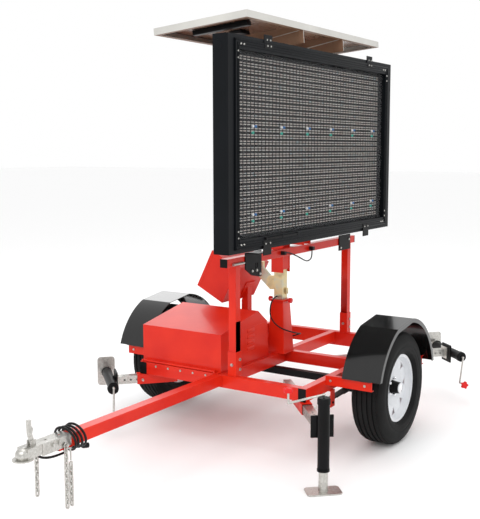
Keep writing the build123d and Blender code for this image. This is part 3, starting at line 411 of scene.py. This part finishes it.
POINTS_A_TURN = 14
HARNESS_END = (-1.826, -0.006, 0.351)
PLUG_BOOT = 0.012
PLUG_RIB = 0.0022


def in_metres(route):
    return [at(x * MM, y * MM, z * MM) for x, y, z in route]


def spline(name, points, radius, material):
    data = bpy.data.curves.new(name, "CURVE")
    data.dimensions = "3D"
    line = data.splines.new("NURBS")
    line.points.add(len(points) - 1)
    for point, place in zip(line.points, points):
        point.co = (*place, 1)
    line.order_u = 3
    line.use_endpoint_u = True
    line.resolution_u = 8
    data.bevel_depth = radius
    data.bevel_resolution = 5
    data.use_fill_caps = True
    data.materials.append(material)
    obj = bpy.data.objects.new(name, data)
    bpy.context.collection.objects.link(obj)
    return obj


def centre_line(obj):
    """The points of a curve's smooth line, with its thickness taken off for the reading."""
    bevel = obj.data.bevel_depth
    obj.data.bevel_depth = 0
    bpy.context.view_layer.update()
    depsgraph = bpy.context.evaluated_depsgraph_get()
    mesh = bpy.data.meshes.new_from_object(obj.evaluated_get(depsgraph))
    points = [vert.co.copy() for vert in mesh.vertices]
    bpy.data.meshes.remove(mesh)
    obj.data.bevel_depth = bevel
    return points


def run_length(points):
    return sum((b - a).length for a, b in zip(points, points[1:]))


def make_mast_cable():
    route = in_metres(MAST_CABLE)
    line = spline("mast_cable_line", route, MAST_CABLE_R, CABLE)
    path = centre_line(line)
    bpy.context.view_layer.update()
    depsgraph = bpy.context.evaluated_depsgraph_get()
    mesh = bpy.data.meshes.new_from_object(line.evaluated_get(depsgraph))
    bpy.data.objects.remove(line)
    cable = bpy.data.objects.new("mast_lead", mesh)
    mesh.name = "mast_lead"
    bpy.context.collection.objects.link(cable)
    mesh.shade_smooth()
    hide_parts("mast_cable")
    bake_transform(cable)


def make_sign_cable():
    route = in_metres(SIGN_CABLE)
    cable = spline("sign_lead", route, SIGN_CABLE_R, CABLE)
    length = run_length(centre_line(cable))
    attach(cable, "chassis")
    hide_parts("sign_cable")


def make_harness():
    """The lead, its turns round the drawbar and the plug that it ends in."""
    route = in_metres(HARNESS_LEAD)
    pitch = (TURN_STATIONS[-1] - TURN_STATIONS[0]) / (len(TURN_STATIONS) - 1)
    for i in range(POINTS_A_TURN * len(TURN_STATIONS) + 1):
        turns = i / POINTS_A_TURN
        angle = 2 * math.pi * turns
        reach = TURN_R * (1 + 0.05 * math.sin(2.3 * turns))
        rise = -reach * math.cos(angle)
        x = TURN_STATIONS[0] + pitch * (turns - 0.5) - rise * TURN_LEAN
        route.append(at(x, reach * math.sin(angle), TURN_AXIS_Z + rise))
    end = at(*HARNESS_END)
    route += [end - Vector((0.012, 0.004, 0)), end]
    lead = spline("harness_wound", route, HARNESS_R, CABLE)
    length = run_length(centre_line(lead))
    plug_ends = [caps(bm) for bm in islands("harness_coil") if caps(bm)]
    tail, head, radius = plug_ends[0]
    if tail.x > head.x:
        tail, head = head, tail
    bm = bmesh.new()
    axis = (head - tail).normalized()
    add_rod(bm, tail, tail + axis * PLUG_BOOT, HARNESS_R * 1.1, 24, radius)
    add_rod(bm, tail + axis * PLUG_BOOT, head, radius, 32)
    for i in range(4):
        ring = tail + axis * (0.016 + 0.005 * i)
        add_rod(bm, ring, ring + axis * PLUG_RIB, radius * 1.06, 32)
    plug = piece("harness_plug", bm, PLASTIC, "chassis")
    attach(lead, "chassis")
    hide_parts("harness_lead", "harness_coil")


# ---------------------------------------------------------------- structure
def dress_frame():
    for node in ("drawbar", "side_rails", "cross_members", "display_stand", "outrigger_sockets"):
        restyle(node, RED, 3.5 * MM, 3)
    for node in ("battery_tray", "frame_brackets"):
        restyle(node, RED)
    restyle("lift_carriage", RED, 1.2 * MM)
    restyle("battery_cover", RED, 3 * MM, 3)
    restyle("control_box", RED, 2 * MM)
    restyle("control_lid", RED, 2 * MM)
    for node, width in (("end_caps", 1.5), ("cradle_brackets", 1.0), ("sign_cabinet", 1.5),
                        ("door_latches", 1.0), ("solar_arms", 1.0), ("axle", 2.0),
                        ("leaf_springs", 1.0)):
        restyle(node, SIGN_BLACK if node == "sign_cabinet" else BLACK, width * MM)
    dress_solar_frame()
    restyle("mast_post", GOLD, 2.5 * MM, 3)
    restyle("lift_ram", BLACK)
    restyle("lift_rod", STEEL)
    restyle("sign_door", SIGN_BLACK, 1.5 * MM)
    restyle("door_pane", PANE)
    restyle("led_modules", BOARD)
    restyle("solar_laminate", SOLAR)
    restyle("batteries", CASE, 3 * MM)
    restyle("coupler", ZINC, 1.2 * MM)
    restyle("latch_lever", ZINC, 1.5 * MM)
    dress_chain("left_chain", True)
    dress_chain("right_chain", False)
    restyle("cable_glands", PLASTIC, 1 * MM)
    for side in ("left", "right"):
        restyle(side + "_fender", FENDER)
    for corner in CORNERS:
        restyle("outrigger_" + corner, ZINC, 1.2 * MM)
        restyle("jack_" + corner, BLACK, 1.2 * MM)
        restyle("leg_" + corner, ZINC, 1.0 * MM)


LINK_SWELL = 0.0012
PLAIN_LINKS = 0.030
STRAND_START = 0.085
STRAND_STEP = (0.030, 0, 0.004)
HOOK_WIRE_R = 0.004
HOOK_BEND_R = 0.015


def dress_chain(node, doubled):
    """Links of stouter wire below the top ones; the near chain hangs doubled from a hook."""
    bm = bmesh.new()
    links = islands(node)
    low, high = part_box(node)
    for link in links:
        link.normal_update()
        if span(link)[1].z > high.z - PLAIN_LINKS:
            continue
        for vert in link.verts:
            vert.co += vert.normal * LINK_SWELL
    for link in links:
        mesh = bpy.data.meshes.new("link")
        link.to_mesh(mesh)
        bm.from_mesh(mesh)
        if doubled and span(link)[1].z < high.z - STRAND_START:
            before = set(bm.verts)
            bm.from_mesh(mesh)
            fresh = [vert for vert in bm.verts if vert not in before]
            bmesh.ops.translate(bm, verts=fresh, vec=STRAND_STEP)
        bpy.data.meshes.remove(mesh)
    piece(node + "_links", bm, ZINC, BODY_OF[node], (node,))
    if doubled:
        hook = bmesh.new()
        centre = (low + high) / 2
        top = Vector((centre.x + 0.030, centre.y, high.z - 0.046))
        arc = [HOOK_BEND_R * Vector((-math.cos(t) - 1, 0, math.sin(t)))
               for t in (math.pi * i / 8 for i in range(9))]
        points = [top + Vector((-0.030, 0, -0.012))] + [top + spot for spot in arc] + \
                 [top + Vector((0, 0, -0.046))]
        for a, b in zip(points, points[1:]):
            add_rod(hook, a, b, HOOK_WIRE_R, 14)
            bmesh.ops.create_icosphere(hook, subdivisions=2, radius=HOOK_WIRE_R,
                                       matrix=Matrix.Translation(b))
        piece("safety_hook", hook, ZINC, BODY_OF[node])


def dress_solar_frame():
    """Bright outside; the inner and under faces are painted with a brown reflection of the sheet
    they look at.
    """
    bm = copied("solar_frame")
    low, high = span(bm)
    for face in bm.faces:
        spot = face.calc_center_median()
        inside = abs(spot.x - (low.x + high.x) / 2) < (high.x - low.x) / 2 - 0.02
        wall = inside and abs(face.normal.x) > 0.9 and face.calc_area() > 0.004
        # Inner walls and downward faces get the painted brown reflection.
        if wall or face.normal.z < -0.7:
            face.material_index = 1
    obj = piece("solar_frame_shell", bm, ALLOY, "solar_panel", ("solar_frame",))
    obj.data.materials.append(PAINTED_REFLECTION_BROWN)
    eased(obj, 0.8 * MM)


KNOB_FLUTES = 10
FLUTE_R = 0.0022
WELD_R = 0.0035


def dress_mast_base():
    """The tapered base keeps its shape; its knobs get a grip, and a weld runs round its foot."""
    bm = bmesh.new()
    body = None
    for solid in islands("mast_base"):
        ends = caps(solid)
        if ends is None:
            body = solid
            continue
        a, b, radius = ends
        if abs(a.y) > abs(b.y):
            a, b = b, a
        if radius > 0.012:
            for i in range(KNOB_FLUTES):
                turn = 2 * math.pi * i / KNOB_FLUTES
                flute = Vector((math.cos(turn), 0, math.sin(turn))) * (radius - 0.002)
                add_rod(bm, a + flute, b + flute, FLUTE_R, 10)
            add_rod(bm, a, b, radius - 0.001, 30)
        else:
            add_rod(bm, a, b, radius, 20)
    piece("mast_base_knobs", bm, KNOB, "chassis")
    eased(piece("mast_base_shell", body, RED, "chassis", ("mast_base",)), 3 * MM, 3)
    weld = bmesh.new()
    half = (base_high.x - base_low.x) / 2
    foot = base_low.z + 0.001
    centre = middle("mast_base")
    corners = [(-half, -half), (half, -half), (half, half), (-half, half)]
    for (ax, ay), (bx, by) in zip(corners, corners[1:] + corners[:1]):
        add_rod(weld, Vector((centre.x + ax, ay, foot)), Vector((centre.x + bx, by, foot)),
                WELD_R, 10)
    piece("mast_base_weld", weld, RED, "chassis")


def dress_bolts():
    """Every plain round head becomes a hexagon head on a washer; pins stay round."""
    bm = bmesh.new()
    pins = bmesh.new()
    for solid in islands("chassis_bolts"):
        ends = caps(solid)
        if ends is None:
            mesh = bpy.data.meshes.new("pin")
            solid.to_mesh(mesh)
            pins.from_mesh(mesh)
            bpy.data.meshes.remove(mesh)
            continue
        a, b, radius = ends
        centre = Vector((AXLE_X, 0, 0.7))
        outward = (b - a).dot((a + b) / 2 - centre)
        if outward < 0:
            a, b = b, a
        if (b - a).length > 4 * radius:
            add_rod(pins, a, b, radius, 24)
        else:
            add_hex(bm, a, b, radius)
    piece("bolt_heads", bm, ZINC, "chassis", ("chassis_bolts",), smooth=30)
    piece("round_pins", pins, ZINC, "chassis")


LOUVRE_HEIGHTS = (0.647, 0.608, 0.570, 0.531)
LOUVRE_X = -0.266
LOUVRE_R = 0.012
LOUVRE_LENGTH = 0.084
LOUVRE_DEPTH = 0.42


def dress_battery_cover():
    """Pressed louvres and a seam on the near side."""
    bm = bmesh.new()
    low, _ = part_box("battery_cover")
    flat = Matrix.Diagonal((1, LOUVRE_DEPTH, 1, 1)) @ Matrix.Rotation(math.pi / 2, 4, "Y")
    for z in LOUVRE_HEIGHTS:
        made = bmesh.ops.create_cone(bm, segments=20, radius1=LOUVRE_R, radius2=LOUVRE_R,
                                     depth=LOUVRE_LENGTH, cap_ends=True,
                                     matrix=Matrix.Translation(at(LOUVRE_X, low.y, z)) @ flat)
        edges = list({edge for vert in made["verts"] for edge in vert.link_edges
                      if len(edge.link_faces) == 2
                      and any(len(face.verts) > 4 for face in edge.link_faces)})
        bmesh.ops.bevel(bm, geom=edges, offset=0.004, segments=3, profile=0.5, affect="EDGES",
                        material=-1)
    piece("cover_louvres", bm, RED, "battery_lid")
    seam = bmesh.new()
    add_box(seam, at(-0.600, low.y - 0.0012, 0.6695), at(-0.068, low.y + 0.001, 0.6725), 0.0004)
    piece("cover_seam", seam, RED, "battery_lid")


LID_TILT = math.radians(27)
LOCK_PLACE = (0.415, 1.120)
LOCK_SIDES = (-0.13, 0.13)


def dress_console():
    """Two round locks on the console's lid."""
    low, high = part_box("control_lid")
    out = Vector((0, math.cos(LID_TILT), math.sin(LID_TILT)))
    up = Vector((0, -math.sin(LID_TILT), math.cos(LID_TILT)))
    top = Vector(((low.x + high.x) / 2, *LOCK_PLACE))
    bm = bmesh.new()
    for x in LOCK_SIDES:
        base = top + Vector((x, 0, 0)) - up * 0.03
        add_rod(bm, base, base + out * 0.007, 0.011, 28)
        add_rod(bm, base + out * 0.007, base + out * 0.012, 0.007, 24)
    piece("lid_locks", bm, CHROME, "console_lid")


# ---------------------------------------------------------------- wheels
TREAD_STEPS = 96
BEAD_R = 0.1925
GROOVES = (-0.048, -0.016, 0.016, 0.048)
GROOVE_DEPTH = 0.008


def make_tyre(side):
    """A radial tyre turned from its section, with four grooves and cut shoulder blocks."""
    node = side + "_tyre"
    low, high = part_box(node)
    centre = (low + high) / 2
    width = high.y - low.y
    radius = (high.z - low.z) / 2
    half = width / 2
    section = [(BEAD_R, -0.0705), (BEAD_R + 0.015, -0.0708), (BEAD_R + 0.022, -0.084),
               (BEAD_R + 0.035, -0.0985), (BEAD_R + 0.052, -half + 0.0005),
               (BEAD_R + 0.066, -half), (BEAD_R + 0.070, -half + 0.0014),
               (BEAD_R + 0.074, -half), (BEAD_R + 0.096, -half + 0.0012),
               (radius - 0.022, -half + 0.010),
               (radius - 0.010, -half + 0.020), (radius - 0.004, -half + 0.032)]
    for groove in GROOVES:
        section += [(radius - 0.0005, groove - 0.0052), (radius - GROOVE_DEPTH, groove - 0.0038),
                    (radius - GROOVE_DEPTH, groove + 0.0038), (radius - 0.0005, groove + 0.0052)]
    section += [(r, -y) for r, y in section[11::-1]]
    bm = bmesh.new()
    verts = [bm.verts.new((0, y, r)) for r, y in section]
    inner = [(BEAD_R + 0.012, 0.066), (radius - 0.03, 0.05), (radius - 0.03, -0.05),
             (BEAD_R + 0.012, -0.066)]
    verts += [bm.verts.new((0, y, r)) for r, y in inner]
    edges = [bm.edges.new((a, b)) for a, b in zip(verts, verts[1:] + verts[:1])]
    bmesh.ops.spin(bm, geom=verts + edges, cent=(0, 0, 0), axis=(0, 1, 0), angle=2 * math.pi,
                   steps=TREAD_STEPS, use_merge=True)
    bmesh.ops.recalc_face_normals(bm, faces=bm.faces)
    blocks = []
    for face in bm.faces:
        spot = face.calc_center_median()
        reach = math.hypot(spot.x, spot.z)
        if reach > radius - 0.006 and abs(spot.y) > 0.0535:
            blocks.append(face)
    bmesh.ops.inset_individual(bm, faces=blocks, thickness=0.0022, depth=0.0)
    ribs = []
    for face in bm.faces:
        spot = face.calc_center_median()
        if math.hypot(spot.x, spot.z) > radius - 0.003 and abs(spot.y) < 0.043:
            ribs.append(face)
    bmesh.ops.inset_individual(bm, faces=ribs, thickness=0.0016, depth=0.0)
    rims = set()
    for face in blocks:
        rims.update(face.verts)
    for vert in bm.verts:
        reach = math.hypot(vert.co.x, vert.co.z)
        if vert in rims or reach < radius - 0.006 or abs(vert.co.y) < 0.053:
            continue
        if abs(vert.co.y) > half - 0.0345:
            shrink = (reach - 0.0045) / reach
            vert.co.x *= shrink
            vert.co.z *= shrink
    bmesh.ops.translate(bm, verts=bm.verts, vec=centre)
    piece(side + "_tyre_tread", bm, RUBBER, BODY_OF[node], (node,), smooth=35)


def make_wheel(side):
    """The rim and disc in white, the hub in black, and the nuts and cap in chrome."""
    node = side + "_wheel"
    body = BODY_OF[node]
    solids = sorted(islands(node), key=lambda bm: -(span(bm)[1] - span(bm)[0]).length)
    rim, hub = solids[0], solids[1]
    obj = piece(side + "_rim", rim, WHITE, body, (node,), smooth=30)
    eased(obj, 1.0 * MM)
    piece(side + "_hub", hub, BLACK, body, smooth=30)
    bright = bmesh.new()
    outward = 1 if middle(node).y > 0 else -1
    for solid in solids[2:]:
        a, b, radius = caps(solid)
        if (b.y - a.y) * outward < 0:
            a, b = b, a
        if radius < 0.015:
            add_rod(bright, a, a + (b - a) * 0.35, radius * 1.15, 6, radius)
            add_rod(bright, a + (b - a) * 0.3, b - (b - a) * 0.2, radius * 0.95, 6)
            add_rod(bright, b - (b - a) * 0.2, b, radius * 0.9, 20, radius * 0.5)
        else:
            add_rod(bright, a, b - (b - a) * 0.3, radius, 40)
            add_rod(bright, b - (b - a) * 0.3, b, radius, 40, radius * 0.6)
    piece(side + "_wheel_bright", bright, CHROME, body, smooth=30)


# ---------------------------------------------------------------- sign
LAMP_COLUMNS = 48
LAMP_ROWS = 28
LENS_LEVELS = (0.20, 0.60)
LENS_STATIONS = (0.16, 0.50)
MODULE_COLUMNS = 6
MODULE_ROWS = 2
MARK_REACH = 0.010
DOT_R = 0.0075


def repeat(obj, count, step):
    array = obj.modifiers.new("repeat", "ARRAY")
    array.use_relative_offset = False
    array.use_constant_offset = True
    array.constant_offset_displace = step
    array.count = count


def make_lamps():
    """Two rows of paired eight-sided lenses in each lamp cell, with black louvres over them."""
    low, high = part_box("led_modules")
    across = (high.x - low.x) / LAMP_COLUMNS
    up = (high.z - low.z) / LAMP_ROWS
    bm = bmesh.new()
    for level in LENS_LEVELS:
        z = low.z + up * level
        for station in LENS_STATIONS:
            x = low.x + across * station
            shape = (Matrix.Translation((x + across * 0.15, low.y - 0.0025, z + up * 0.1))
                     @ Matrix.Rotation(math.pi / 2, 4, "X")
                     @ Matrix.Diagonal((across * 0.16, up * 0.11, 1, 1)))
            bmesh.ops.create_cone(bm, segments=8, radius1=1, radius2=0.75, depth=0.005,
                                  cap_ends=True, matrix=shape)
    lamps = piece("lamp_lenses", bm, LENS, "sign")
    repeat(lamps, LAMP_COLUMNS, (across, 0, 0))
    repeat(lamps, LAMP_ROWS, (0, 0, up))
    visor = bmesh.new()
    add_box(visor, (low.x, low.y - 0.009, low.z + up * 0.94),
            (high.x, low.y, low.z + up * 0.985), 0.0004)
    add_box(visor, (low.x, low.y - 0.006, low.z + up * 0.52),
            (high.x, low.y, low.z + up * 0.55), 0.0003)
    louvres = piece("lamp_louvres", visor, BOARD, "sign")
    repeat(louvres, LAMP_ROWS, (0, 0, up))
    marks = bmesh.new()
    dots = bmesh.new()
    blues = bmesh.new()
    module_w = (high.x - low.x) / MODULE_COLUMNS
    module_h = (high.z - low.z) / MODULE_ROWS
    front = low.y - MARK_REACH
    for column in range(MODULE_COLUMNS):
        for row in range(MODULE_ROWS):
            x = low.x + module_w * (column + 0.73)
            z = low.z + module_h * row + 0.074
            add_rod(marks, (x - 0.015, low.y, z), (x - 0.015, front, z), 0.0085, 20)
            add_rod(dots, (x - 0.015, low.y, z + up), (x - 0.015, front, z + up), DOT_R, 20)
            add_rod(blues, (x + 0.014, low.y, z + up), (x + 0.014, front, z + up), DOT_R, 20)
    piece("module_marks", marks, GREEN, "sign")
    piece("module_dots", dots, WHITE, "sign")
    piece("module_blues", blues, BLUE, "sign")


DOOR_RIDGES = ((0.004, 0.008), (0.020, 0.005), (0.034, 0.005))
HINGE_STATIONS = (-0.558, 0.793)
LATCH_STATIONS = (-0.572, 0.760)
SCREW_R = 0.0055
PROP_ROD_Z = 1.280
RIB_STATIONS = (-0.7, -0.35, 0.35, 0.7)


def make_door_trim():
    """Ridges, screws and the prop rod on the door, and the hinge bolts and back of the sign."""
    low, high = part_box("sign_door")
    face = low.y
    bm = bmesh.new()
    for inset, thick in DOOR_RIDGES:
        x0, x1, z0, z1 = low.x + inset, high.x - inset, low.z + inset, high.z - inset
        for a, b in (((x0, z0), (x1, z0 + thick)), ((x0, z1 - thick), (x1, z1)),
                     ((x0, z0), (x0 + thick, z1)), ((x1 - thick, z0), (x1, z1))):
            add_box(bm, (a[0], face - 0.0035, a[1]), (b[0], face + 0.001, b[1]), 0.001)
    piece("door_ridges", bm, SIGN_BLACK, "door")
    screws = bmesh.new()
    fixed = bmesh.new()
    for x, step in ((low.x + 0.026, 0.030), (high.x - 0.026, -0.030)):
        for z, rise in ((low.z + 0.026, 0.040), (high.z - 0.026, -0.040)):
            for dx, dz in ((step, 0), (2 * step, 0), (0, rise), (0, 1.9 * rise)):
                add_rod(screws, (x + dx, face, z + dz), (x + dx, face - 0.0045, z + dz),
                        0.0065, 16, 0.0045)
    for x in HINGE_STATIONS:
        for dx in (-0.018, 0.018):
            place = at(x + dx, 0, 0)
            add_rod(screws, (place.x, face + 0.003, high.z - 0.014),
                    (place.x, face - 0.008, high.z - 0.014), SCREW_R, 6)
            add_rod(fixed, (place.x, face + 0.004, high.z + 0.020),
                    (place.x, face - 0.004, high.z + 0.020), SCREW_R, 6)
    for x in LATCH_STATIONS:
        for dx in (-0.025, 0.025):
            place = at(x + dx, 0, low.z + 0.012)
            add_rod(screws, (place.x, face - 0.004, place.z),
                    (place.x, face - 0.010, place.z), 0.006, 6)
    piece("door_screws", screws, ZINC, "door", smooth=30)
    piece("hinge_bolts", fixed, ZINC, "sign", smooth=30)
    rod = bmesh.new()
    a, b = at(-0.60, face - 0.007, PROP_ROD_Z), at(-0.21, face - 0.007, PROP_ROD_Z)
    add_rod(rod, a, b, 0.0045, 16)
    for x in (-0.59, -0.40, -0.22):
        spot = at(x, face, PROP_ROD_Z)
        add_box(rod, (spot.x - 0.006, face - 0.012, spot.z - 0.008),
                (spot.x + 0.006, face + 0.001, spot.z + 0.008), 0.001)
    piece("door_prop_rod", rod, BLACK, "door")
    cabinet_low, cabinet_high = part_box("sign_cabinet")
    ring = bmesh.new()
    x = cabinet_low.x
    add_rod(ring, (x + 0.001, -0.236, 2.343), (x - 0.0015, -0.236, 2.343), 0.030, 40, 0.0285)
    piece("knock_out", ring, SIGN_BLACK, "sign")
    back = bmesh.new()
    for station in RIB_STATIONS:
        spot = at(MAST_TO_AXLE + station, cabinet_high.y, 1.25)
        add_box(back, (spot.x - 0.02, cabinet_high.y - 0.001, 1.245),
                (spot.x + 0.02, cabinet_high.y + 0.006, 2.38), 0.003)
    piece("cabinet_ribs", back, SIGN_BLACK, "sign")


PANEL_TILT = math.radians(-5)


def make_solar_trim():
    """The tilt channel under the panel, and its junction box with a cable boss."""
    channel = bmesh.new()
    tilt = Matrix.Rotation(PANEL_TILT, 4, "X")
    add_box(channel, (-0.022, -0.19, -0.030), (0.022, 0.20, 0.0), 0.002)
    place = Matrix.Translation(at(-0.545, 0.023, 2.5135)) @ tilt
    bmesh.ops.transform(channel, matrix=place, verts=channel.verts)
    piece("panel_tilt_channel", channel, BLACK, "solar_panel")
    bm = bmesh.new()
    add_box(bm, (-0.055, -0.04, -0.022), (0.055, 0.04, 0.0), 0.004)
    add_box(bm, (-0.02, 0.04, -0.014), (0.02, 0.07, -0.002), 0.002)
    place = Matrix.Translation(at(-0.30, 0.06, 2.5105)) @ tilt
    bmesh.ops.transform(bm, matrix=place, verts=bm.verts)
    piece("panel_junction_box", bm, PLASTIC, "solar_panel")


# ---------------------------------------------------------------- jacks
LOBES = 5
LOBE_POINTS = 60
JACK_TUBE_R = 0.03175


def make_crank(corner):
    """The crank's zinc rod, and a five-lobed red knob."""
    node = "crank_" + corner
    body = BODY_OF[node]
    shaft = None
    for solid in islands(node):
        ends = caps(solid)
        if ends is None or ends[2] < 0.015:
            shaft = solid
            continue
        a, b, radius = ends
        bm = bmesh.new()
        ring = [bm.verts.new((radius * (0.86 + 0.14 * math.cos(LOBES * t)) * math.cos(t),
                              radius * (0.86 + 0.14 * math.cos(LOBES * t)) * math.sin(t), 0))
                for t in (2 * math.pi * i / LOBE_POINTS for i in range(LOBE_POINTS))]
        face = bm.faces.new(ring)
        depth = (b - a).length
        grown = bmesh.ops.extrude_face_region(bm, geom=[face])["geom"]
        lifted = [item for item in grown if isinstance(item, bmesh.types.BMVert)]
        bmesh.ops.translate(bm, verts=lifted, vec=(0, 0, depth))
        bmesh.ops.translate(bm, verts=bm.verts, vec=(0, 0, -depth / 2))
        rim = [edge for edge in bm.edges if len({round(v.co.z, 5) for v in edge.verts}) == 1]
        bmesh.ops.bevel(bm, geom=rim, offset=0.005, segments=4, profile=0.5, affect="EDGES",
                        material=-1)
        bmesh.ops.transform(bm, matrix=along(a, b), verts=bm.verts)
        piece("knob_" + corner, bm, KNOB, body)
    piece("crank_rod_" + corner, shaft, ZINC, body, (node,))


def make_jack_trim(corner):
    """A head cap at the top of the jack tube, and a collar at its bottom."""
    tube = copied("jack_" + corner)
    ends = [face for face in tube.faces if len(face.verts) > 20]
    legs = middle("leg_" + corner)
    centre = middle("jack_" + corner)
    along_leg = legs - centre
    if corner == "front_left":
        axis = Vector((0, 0, -1))
    else:
        axis = Vector((along_leg.x, along_leg.y, 0)).normalized()
    outer = [face.calc_center_median() for face in ends if abs(face.normal.dot(axis)) > 0.99]
    bottom = max(outer, key=lambda spot: spot.dot(axis))
    top = min(outer, key=lambda spot: spot.dot(axis))
    tube.free()
    bm = bmesh.new()
    add_rod(bm, top + axis * 0.004, top - axis * 0.004, JACK_TUBE_R + 0.0035, 40, JACK_TUBE_R)
    add_rod(bm, top + axis * 0.030, top + axis * 0.004, JACK_TUBE_R + 0.0035, 40)
    piece("jack_head_" + corner, bm, BLACK, BODY_OF["jack_" + corner])
    collar = bmesh.new()
    add_rod(collar, bottom - axis * 0.012, bottom - axis * 0.0005, JACK_TUBE_R + 0.0022, 40)
    piece("jack_collar_" + corner, collar, BLACK, BODY_OF["jack_" + corner])


# ---------------------------------------------------------------- stage
def add_light(name, place, target, size, watts, colour=(1, 1, 1)):
    data = bpy.data.lights.new(name, "AREA")
    data.shape = "RECTANGLE"
    data.size, data.size_y = size
    data.energy = watts
    data.color = colour
    light = bpy.data.objects.new(name, data)
    light.location = place
    light.rotation_mode = "QUATERNION"
    light.rotation_quaternion = (Vector(target) - Vector(place)).to_track_quat("-Z", "Y")
    bpy.context.collection.objects.link(light)


def make_stage():
    bm = bmesh.new()
    bmesh.ops.create_grid(bm, x_segments=1, y_segments=1, size=60)
    mesh = bpy.data.meshes.new("floor")
    bm.to_mesh(mesh)
    bm.free()
    material, _, _, shader, _ = new_material("pale floor")
    shader.inputs["Base Color"].default_value = (0.96, 0.96, 0.96, 1)
    shader.inputs["Roughness"].default_value = 0.75
    mesh.materials.append(material)
    floor = bpy.data.objects.new("floor", mesh)
    bpy.context.collection.objects.link(floor)
    world = bpy.data.worlds.new("studio")
    world.use_nodes = True
    world.node_tree.nodes["Background"].inputs["Color"].default_value = (1, 1, 1, 1)
    world.node_tree.nodes["Background"].inputs["Strength"].default_value = 1.0
    bpy.context.scene.world = world
    target = (AXLE_X, 0, 1.0)
    add_light("front light", at(-6, -1.5, 4.5), target, (5, 3), 110)
    add_light("side light", at(1.0, -7, 3.6), target, (6, 3), 40)
    add_light("top light", at(0, 0, 8), target, (6, 6), 150)
    add_light("rear light", at(6, 5, 4), target, (4, 3), 60)
    bpy.context.scene.view_settings.view_transform = "Standard"
    bpy.context.scene.view_settings.look = "None"


# ---------------------------------------------------------------- the whole scene
make_camera()
make_mast_cable()
make_sign_cable()
make_harness()
dress_frame()
dress_mast_base()
dress_bolts()
dress_battery_cover()
dress_console()
for side in ("left", "right"):
    make_tyre(side)
    make_wheel(side)
make_lamps()
make_door_trim()
make_solar_trim()
for corner in CORNERS:
    make_crank(corner)
    make_jack_trim(corner)
make_stage()
